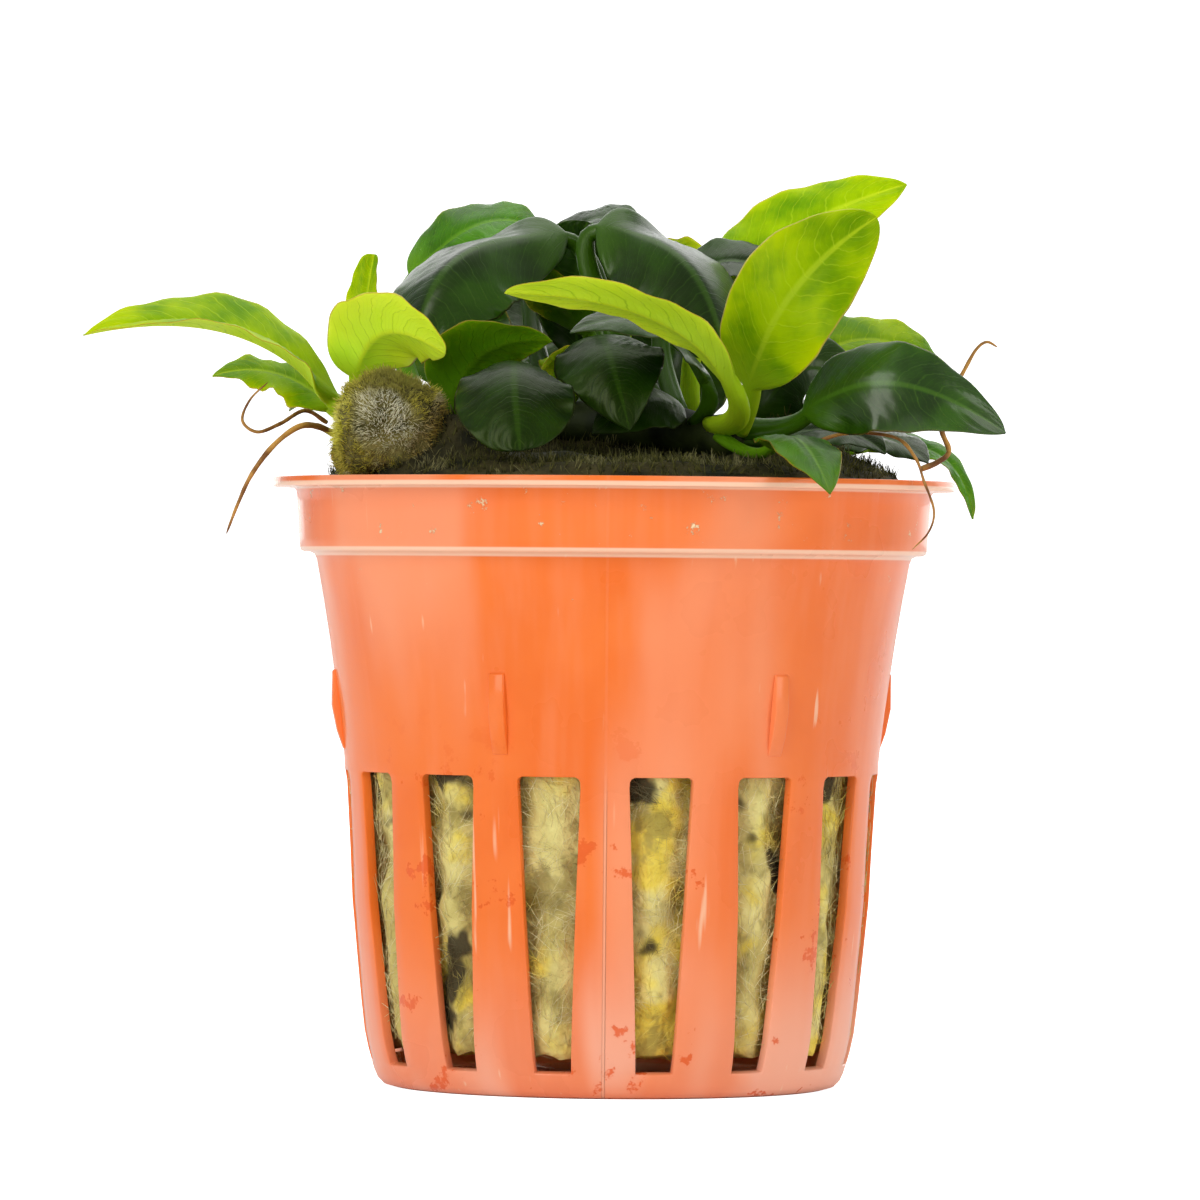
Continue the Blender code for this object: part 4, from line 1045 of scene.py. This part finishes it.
leaf("leaf_right_back", SIDE, 0.75, (15.8, 3.6, 58.8), (21.5, 6, 60.6), (27.2, 8, 57.6),
     (0, -0.6, 1), 8.4, (10, 10), ends=(0.5, 0.5), finish=YOUNG, shade=-0.2)
leaf("leaf_right_large", MAIN, 0.97, (15.4, -10.6, 54.2), (22, -15.3, 56.6), (31, -14, 52.8),
     (0, -1, 0.5), 7.8, (5, -12), ends=(0.5, 0.75), stalk=0.7, shade=0.6)
leaf("leaf_right_inner", SIDE, 0.55, (11.8, 0.6, 54.2), (15.2, -1.6, 58), (19, -3, 56.4),
     (0, -1, 0.6), 7.4, shade=-0.2)
leaf("leaf_right_over_rim", MAIN, 0.96, (12.6, -16.2, 51.6), (14.6, -22, 51.8), (16.7, -28.6, 47.8),
     (0.1, -0.3, 1), 6.2, (0, 5), stalk=0.5, finish=GREEN, shade=-0.2)
leaf("leaf_right_under", MAIN, 0.88, (13.6, -5, 52.4), (18, -7.2, 53), (21.6, -9.8, 51.2),
     (0, -0.8, 1), 4.4, stalk=0.5)
leaf("leaf_right_low_grey", SIDE, 0.95, (17.4, 2, 52.2), (21.6, -1.4, 52.6), (25.2, -5.2, 50.6),
     (0, -0.5, 1), 5.2, (0, 0), stalk=0.5)
leaf("leaf_right_past_rim", SIDE, 1.0, (20.6, 11.6, 52), (27, 14.8, 51.4), (29.9, 16.4, 46.2),
     (0.3, -0.6, 1), 4, stalk=0.5, finish=GREEN, shade=0.3)
print("leaves so far:", len(LEAVES))

# %% The leaves on the far side
leaf("leaf_back_left", MAIN, 0.25, (-12.8, 9.4, 56.4), (-13.2, 13.4, 61.4), (-14.8, 15.6, 66),
     (-0.1, -1, 0.3), 9.6, (10, 10), finish=GREEN, shade=-0.3)
leaf("leaf_back_middle", MAIN, 0.38, (-7.4, 11.4, 58.4), (-7.6, 16.6, 63.4), (-8.2, 18.6, 67.0),
     (0, -1, 0.3), 9.2, (8, 8))
leaf("leaf_back_upright", MAIN, 0.50, (-2.9, 7.6, 58.4), (-3.2, 7.9, 64.6), (-2.4, 7.2, 70.2),
     (0, -1, 0.3), 8.0, (6, 6), ends=(0.8, 0.5))
leaf("leaf_back_right", SIDE, 0.50, (13, 11.2, 57.2), (15.8, 16.8, 61.4), (19.6, 22.8, 58.6),
     (0.2, 0.5, 1), 8.6, (10, 10))
leaf("leaf_back_low", MAIN, 0.60, (3.6, 11, 53.4), (4.4, 14.4, 58.4), (5.6, 15, 63.6),
     (0, -1, 0.3), 10.8, (6, 6), ends=(0.4, 0.45))
leaf("leaf_back_bright", SIDE, 0.08, (0.8, 9.2, 60.8), (3.2, 13.4, 67.2), (8.4, 15.4, 66.6),
     (-0.2, 0.5, 1), 6.4, (15, 15), finish=YOUNG)
print("leaves:", len(LEAVES))

# %% [markdown]
# ### The skin of a leaf
#
# On top of the plain blade come the small shapes that make it a leaf. A groove runs down the midrib
# on the top, with a ridge under it. Each side vein presses the blade in a little, so that the blade
# swells between veins. The margin waves. And the blade is thickest at the midrib and thins outwards.

# %% The leaf's middle line
STALK_ROWS, BLADE_ROWS, HALF_ACROSS = 12, 44, 13
VEINS, VEIN_LEAN, VEIN_CURVE = 11.0, 0.22, 1.25
VEIN_RELIEF, SWELL_RELIEF, SWELL_SIZE, NOISE_APART = 0.085, 0.11, 3.2, 40
GROOVE_DEPTH, GROOVE_WIDTH, KEEL_DEPTH, KEEL_WIDTH = 0.16, 0.4, 0.22, 0.45
FLAT_FROM, KNEE_SHARE, LONGEST_KNEE = 0.22, 0.45, 4.0
FOOT_FLARE, TIP_HALF_WIDTH, EDGE_HALF, RIB_HALF = 1.5, 0.1, 0.10, 0.12


def stem_foot(stem, share, heel):
    """Where a stalk leaves its stem: the point on the stem's skin nearest the heel, sunk inwards a
    little, so that the two skins meet."""
    route = smooth_route(RHIZOMES[stem], 8)
    at = share * (len(route) - 1)
    low = min(int(at), len(route) - 2)
    axis = unit(route[low + 1, :3] - route[low, :3])
    place = route[low] + (at - low) * (route[low + 1] - route[low])
    away = heel - place[:3]
    away = unit(away - (away @ axis) * axis)
    return place[:3] + away * place[3] * 0.75


def leaf_frames(heel, crest, tip, face, foot):
    """Middle points, directions along, across and up for each row. The blade is the curve
    (1-t)^2 heel + 2t(1-t) control + t^2 tip, with the control point chosen so that it passes the
    crest; the stalk is the same kind of curve from the foot, through a knee below the heel."""
    control = 2 * crest - (heel + tip) / 2
    t = (1 - np.cos(np.linspace(0, np.pi, BLADE_ROWS)))[:, None] / 2
    blade = (1 - t) ** 2 * heel + 2 * t * (1 - t) * control + t**2 * tip
    blade_way = (1 - t) * (control - heel) + t * (tip - control)
    reach = min(np.linalg.norm(heel - foot) * KNEE_SHARE, LONGEST_KNEE)
    knee = heel - unit(control - heel) * reach
    s = np.linspace(0, 1, STALK_ROWS, endpoint=False)[:, None]
    stalk = (1 - s) ** 2 * foot + 2 * s * (1 - s) * knee + s**2 * heel
    stalk_way = (1 - s) * (knee - foot) + s * (heel - knee)
    along = unit(np.vstack([stalk_way, blade_way]))
    across = unit(np.cross(along, face))
    return np.vstack([stalk, blade]), across, np.cross(across, along), t[:, 0]


# %% The leaf's points
def leaf_skin(stem, share, heel, crest, tip, face, width, lift, bow, ends, stalk, wave, seed):
    """Points of the leaf. At row t and place v across (-1 to 1) a point is
    middle + half * w * across + (half * h + relief +- thickness) * up, where w shrinks with the
    lift's cosine, h = |v| sin(lift) - bow v^2, and half follows t^a (1-t)^b."""
    heel, crest, tip, face = (np.array(p, float) for p in (heel, crest, tip, face))
    middle, across, up, t = leaf_frames(heel, crest, tip, face, stem_foot(stem, share, heel))
    a, b = ends
    widest = a / (a + b)
    grow = t**a * (1 - t) ** b / (widest**a * (1 - widest) ** b)
    blade_half = np.maximum(width / 2 * grow, np.linspace(stalk, TIP_HALF_WIDTH, len(t)))
    half = np.concatenate([np.full(STALK_ROWS, stalk), blade_half])
    half[:STALK_ROWS] *= np.linspace(FOOT_FLARE, 1.0, STALK_ROWS)
    flat = np.concatenate([np.zeros(STALK_ROWS), np.clip(t / FLAT_FROM, 0, 1)])[:, None]
    flat = flat * flat * (3 - 2 * flat)
    row_t = np.concatenate([np.zeros(STALK_ROWS), t])[:, None]
    spread = np.sin(np.linspace(-np.pi / 2, np.pi / 2, HALF_ACROSS * 2 - 1))
    spread = 0.6 * spread + 0.4 * np.linspace(-1, 1, len(spread))
    v = np.concatenate([spread, spread[-2:0:-1]])[None, :]
    side = np.concatenate([np.ones(len(spread)), -np.ones(len(spread) - 2)])[None, :]
    side[:, [0, len(spread) - 1]] = 0
    rise = np.radians(np.where(v < 0, lift[0], lift[1]))
    half = half[:, None]
    wide = v * (1 + flat * (np.cos(rise) - 1))
    high = flat * (np.abs(v) * np.sin(rise) - bow * v**2)
    out = np.abs(v) * half
    beat = np.cos(2 * np.pi * VEINS * (row_t - VEIN_LEAN * np.abs(v) ** VEIN_CURVE))
    blade_width = np.clip(half / 3, 0, 1)
    relief = VEIN_RELIEF * beat * np.sin(np.pi * np.clip(np.abs(v), 0, 1)) * blade_width
    across_mm = out * np.sign(v) + NOISE_APART * seed
    flat_place = np.stack([across_mm, row_t * 14 + 0 * v, 0 * out], axis=-1)
    swell = wave_noise(flat_place.reshape(-1, 3), SWELL_SIZE, 7).reshape(out.shape)
    relief += SWELL_RELIEF * swell * np.abs(v) * blade_width
    relief -= GROOVE_DEPTH * np.exp(-((out / GROOVE_WIDTH) ** 2)) * (side >= 0)
    keel = np.exp(-((out / KEEL_WIDTH) ** 2)) * (1 - 0.7 * row_t)
    relief -= KEEL_DEPTH * keel * (side < 0)
    turns = 2 * np.pi * (2.3 * row_t + 0.37 * seed)
    ripple = np.sin(turns + np.sign(v)) + 0.4 * np.sin(2.7 * turns - np.sign(v))
    relief += wave * np.abs(v) ** 3 * ripple * blade_width
    blade_thick = EDGE_HALF + RIB_HALF * (1 - np.abs(v)) * (1 - row_t)
    body = (1 - flat) * stalk * 0.9 + flat * blade_thick
    body = body * np.sqrt(np.clip(1 - v**2, 0, 1)) ** (1 - 0.3 * flat)
    lifted = half * high + flat * relief + side * body
    points = middle[:, None] + (half * wide)[..., None] * across[:, None]
    points = points + lifted[..., None] * up[:, None]
    uv = np.stack([(v + 1) / 2 + 0 * row_t, row_t + 0 * v], axis=-1)
    return points, uv, side + 0 * row_t, flat + 0 * v


# %% Make every leaf
leaf_pieces = {}
for number, (name, (shape, finish, shade)) in enumerate(LEAVES.items()):
    points, uv, side, flat = leaf_skin(*shape, seed=number)
    values = {"under": (side < 0), "blade": flat, "shade": np.full(side.size, shade)}
    leaf_pieces[name] = make_skin(name + "_skin", points, finish, [name], values, uv.reshape(-1, 2))
print("faces in one leaf:", len(leaf_pieces["leaf_left_long"].data.polygons))

# %% [markdown]
# ### The leaves' finishes
#
# A young leaf is thin and full of light: it needs a strong subsurface share, so that light from behind comes
# through yellow-green. A full-grown leaf is dark and waxy: little light gets through, and its colour is mostly
# the sky on its coat. One function makes them all, from a handful of colours. The underside is paler and
# duller, with darker veins. Attributes on the points tell the shader which side it is on, where the stalk
# ends, and how light and waxy this one leaf is. That last number holds the leaf's own tone together with
# painted light and shade: it makes a leaf in shade darker and less waxy, and a leaf lit from behind lighter.


# %% One function for every leaf's finish
def leaf_material(name, deep, fresh, under, stalk, vein, margin,
                  roughness, through, scale, coat, vein_share, specular=0.22):
    """A leaf's finish. deep and fresh are the two tones of its top, and under, stalk, vein and
    margin the colours of its other parts. through is how much of the light goes into it and how far,
    with scale in metres, coat is its wax, and vein_share how clearly its side veins are drawn."""
    made, tree, shader, place = start_material(name, roughness, through, scale, coat, specular)
    shader.inputs["Specular Tint"].default_value = (0.75, 1.0, 0.2, 1)
    shader.inputs["Coat Roughness"].default_value = 0.24
    uv_map = tree.nodes.new("ShaderNodeUVMap")
    uv_map.uv_map = "surface"
    lines = use_group(tree, veins, UV=uv_map.outputs["UV"], Count=VEINS, Lean=VEIN_LEAN, Width=0.06)
    cloud = use_group(tree, patches, Vector=place, Scale=210.0).outputs[0]
    colour = mix_colour(tree, cloud, deep, fresh)
    hidden = attribute_value(tree, "under")
    below = math_node(tree, "MULTIPLY_ADD", cloud, -0.25, hidden, clamp=True)
    colour = mix_colour(tree, below, colour, under)
    drawn = times(tree, lines.outputs["Side veins"], vein_share)
    colour = mix_colour(tree, drawn, colour, mix_colour(tree, hidden, vein, deep))
    colour = mix_colour(tree, times(tree, lines.outputs["Midrib"], 0.6), colour, vein)
    blade = attribute_value(tree, "blade")
    edge = times(tree, lines.outputs["Margin"], blade)
    colour = mix_colour(tree, edge, colour, margin)
    colour = mix_colour(tree, blade, stalk, colour)
    # Painted light and shade: each leaf's number, its own tone together with light, darkens leaves that sit in
    # shade and lightens those lit from behind, and the coat is scaled with it.
    shade = attribute_value(tree, "shade")
    light = math_node(tree, "MULTIPLY_ADD", shade, 0.8, 1.0)
    tint = tree.nodes.new("ShaderNodeCombineColor")
    for socket in tint.inputs[:3]:
        tree.links.new(light, socket)
    colour = mix_colour(tree, 1.0, colour, tint.outputs[0], "MULTIPLY")
    tree.links.new(colour, shader.inputs["Base Color"])
    wet = math_node(tree, "MULTIPLY_ADD", shade, 1.4 * coat, coat, clamp=True)
    tree.links.new(wet, shader.inputs["Coat Weight"])
    dull = math_node(tree, "MULTIPLY_ADD", hidden, 0.18, roughness)
    dull = math_node(tree, "MULTIPLY_ADD", cloud, 0.08, dull)
    tree.links.new(dull, shader.inputs["Roughness"])
    skin = use_group(tree, grain, Vector=place, Scale=1300.0, Height=0.00004, Strength=0.35)
    raised = tree.nodes.new("ShaderNodeBump")
    raised.inputs["Distance"].default_value = 0.00006
    tree.links.new(drawn, raised.inputs["Height"])
    tree.links.new(skin.outputs["Normal"], raised.inputs["Normal"])
    tree.links.new(raised.outputs["Normal"], shader.inputs["Normal"])
    return made


# %% The three leaf finishes
LEAF_FINISHES = {
    "leaf_young": leaf_material(
        "young leaf", (0.10, 0.26, 0.0), (0.34, 0.51, 0.0), (0.42, 0.62, 0.03),
        (0.32, 0.50, 0.01), (0.46, 0.62, 0.02), (0.30, 0.20, 0.02), 0.5, 0.7, 0.001, 0.04, 0.45, 0.1,
    ),
    "leaf_green": leaf_material(
        "green leaf", (0.014, 0.075, 0.0), (0.055, 0.20, 0.0), (0.09, 0.25, 0.002),
        (0.11, 0.27, 0.004), (0.12, 0.29, 0.005), (0.14, 0.10, 0.01), 0.42, 0.45, 0.0008, 0.2, 0.4,
    ),
    "leaf_mature": leaf_material(
        "full-grown leaf", (0.004, 0.018, 0.001), (0.014, 0.055, 0.001), (0.025, 0.09, 0.002),
        (0.03, 0.09, 0.002), (0.035, 0.10, 0.005), (0.03, 0.04, 0.01), 0.36, 0.15, 0.0006, 0.4, 0.3,
    ),
}
for name, (shape, finish, shade) in LEAVES.items():
    leaf_pieces[name].data.materials.append(LEAF_FINISHES[finish])
print("leaf finishes:", list(LEAF_FINISHES))

# %% [markdown]
# ## Floor, light and camera
#
# The stage is plain: a pale floor that curves up into a backdrop far behind, so that no horizon
# shows. Seen directly, floor and sky are plain white, but what they give to the plant is a much
# dimmer light, or the pot would look washed out. The shape comes from four soft panels: a large one
# at the left front, a weaker one at the right, one above, and one behind that shines through the
# young leaves. The last one is hidden from the camera, because it stands in its view.

# %% The floor with its sweep
sweep = np.array([(-2.5, 0.0), (1.2, 0.0), (1.6, 0.06), (1.9, 0.25), (2.05, 0.6), (2.1, 1.2), (2.1, 3.0)])
floor_points = np.array([(x, y, z) for y, z in sweep for x in (-3.0, 3.0)])
floor_mesh = bpy.data.meshes.new("pale_floor")
floor_mesh.from_pydata(floor_points.tolist(), [], grid_faces(len(sweep), 2, wrap=False).tolist())
floor_mesh.shade_smooth()
pale_floor = bpy.data.objects.new("pale_floor", floor_mesh)
bpy.context.scene.collection.objects.link(pale_floor)
paper, tree, shader, place = start_material("pale paper", 0.9, specular=0.0)
shader.inputs["Base Color"].default_value = (0.92, 0.92, 0.92, 1)
shader.inputs["Emission Color"].default_value = (1, 1, 1, 1)
rays = tree.nodes.new("ShaderNodeLightPath")
tree.links.new(rays.outputs["Is Camera Ray"], shader.inputs["Emission Strength"])
floor_mesh.materials.append(paper)
print("floor:", len(floor_mesh.polygons), "strips")

# %% World light and panels
SKY_SEEN, SKY_LIGHT = 1.05, 0.36
world = bpy.data.worlds.new("soft studio")
bpy.context.scene.world = world
world.use_nodes = True
sky = world.node_tree
rays = sky.nodes.new("ShaderNodeLightPath")
seen = rays.outputs["Is Camera Ray"]
strength = math_node(sky, "MULTIPLY_ADD", seen, SKY_SEEN - SKY_LIGHT, SKY_LIGHT)
sky.nodes["Background"].inputs["Color"].default_value = (1, 1, 1, 1)
sky.links.new(strength, sky.nodes["Background"].inputs["Strength"])


def soft_panel(name, place, target_height, size, watts):
    """A rectangular area light at a place, turned to face a height on the pot's axis."""
    lamp = bpy.data.lights.new(name, "AREA")
    lamp.shape = "RECTANGLE"
    lamp.size, lamp.size_y = size
    lamp.energy = watts
    holder = bpy.data.objects.new(name, lamp)
    holder.location = place
    way = Vector((0, 0, target_height)) - Vector(place)
    holder.rotation_euler = way.to_track_quat("-Z", "Y").to_euler()
    bpy.context.scene.collection.objects.link(holder)
    return holder


soft_panel("main panel", (-0.55, -0.75, 0.45), 0.03, (0.5, 0.9), 5.5)
soft_panel("side panel", (0.75, -0.45, 0.25), 0.03, (0.35, 0.8), 2.8)
soft_panel("top panel", (0.0, 0.35, 0.9), 0.06, (0.9, 0.7), 3.0)
behind = soft_panel("back panel", (0.1, 0.85, 0.35), 0.06, (1.2, 0.7), 4.0)
behind.visible_camera = False
print("panels:", [lamp.name for lamp in bpy.data.lights])

# %% The camera
TILT, ROLL = math.radians(90 - 0.1355), math.radians(0.5)
CAMERA_PLACE, LENS, SENSOR = (-0.00104, -0.650, 0.0408), 241.0, 36.0
camera_data = bpy.data.cameras.new("camera")
camera_data.sensor_width = SENSOR
camera_data.lens = LENS
camera_data.clip_start = 0.01
camera_data.clip_end = 20.0
camera = bpy.data.objects.new("camera", camera_data)
turn_up = Matrix.Rotation(TILT, 4, "X") @ Matrix.Rotation(ROLL, 4, "Z")
camera.matrix_world = Matrix.Translation(CAMERA_PLACE) @ turn_up
bpy.context.scene.collection.objects.link(camera)
bpy.context.scene.camera = camera
bpy.context.scene.view_settings.view_transform = "Standard"
print("camera:", LENS, "mm lens at", CAMERA_PLACE)
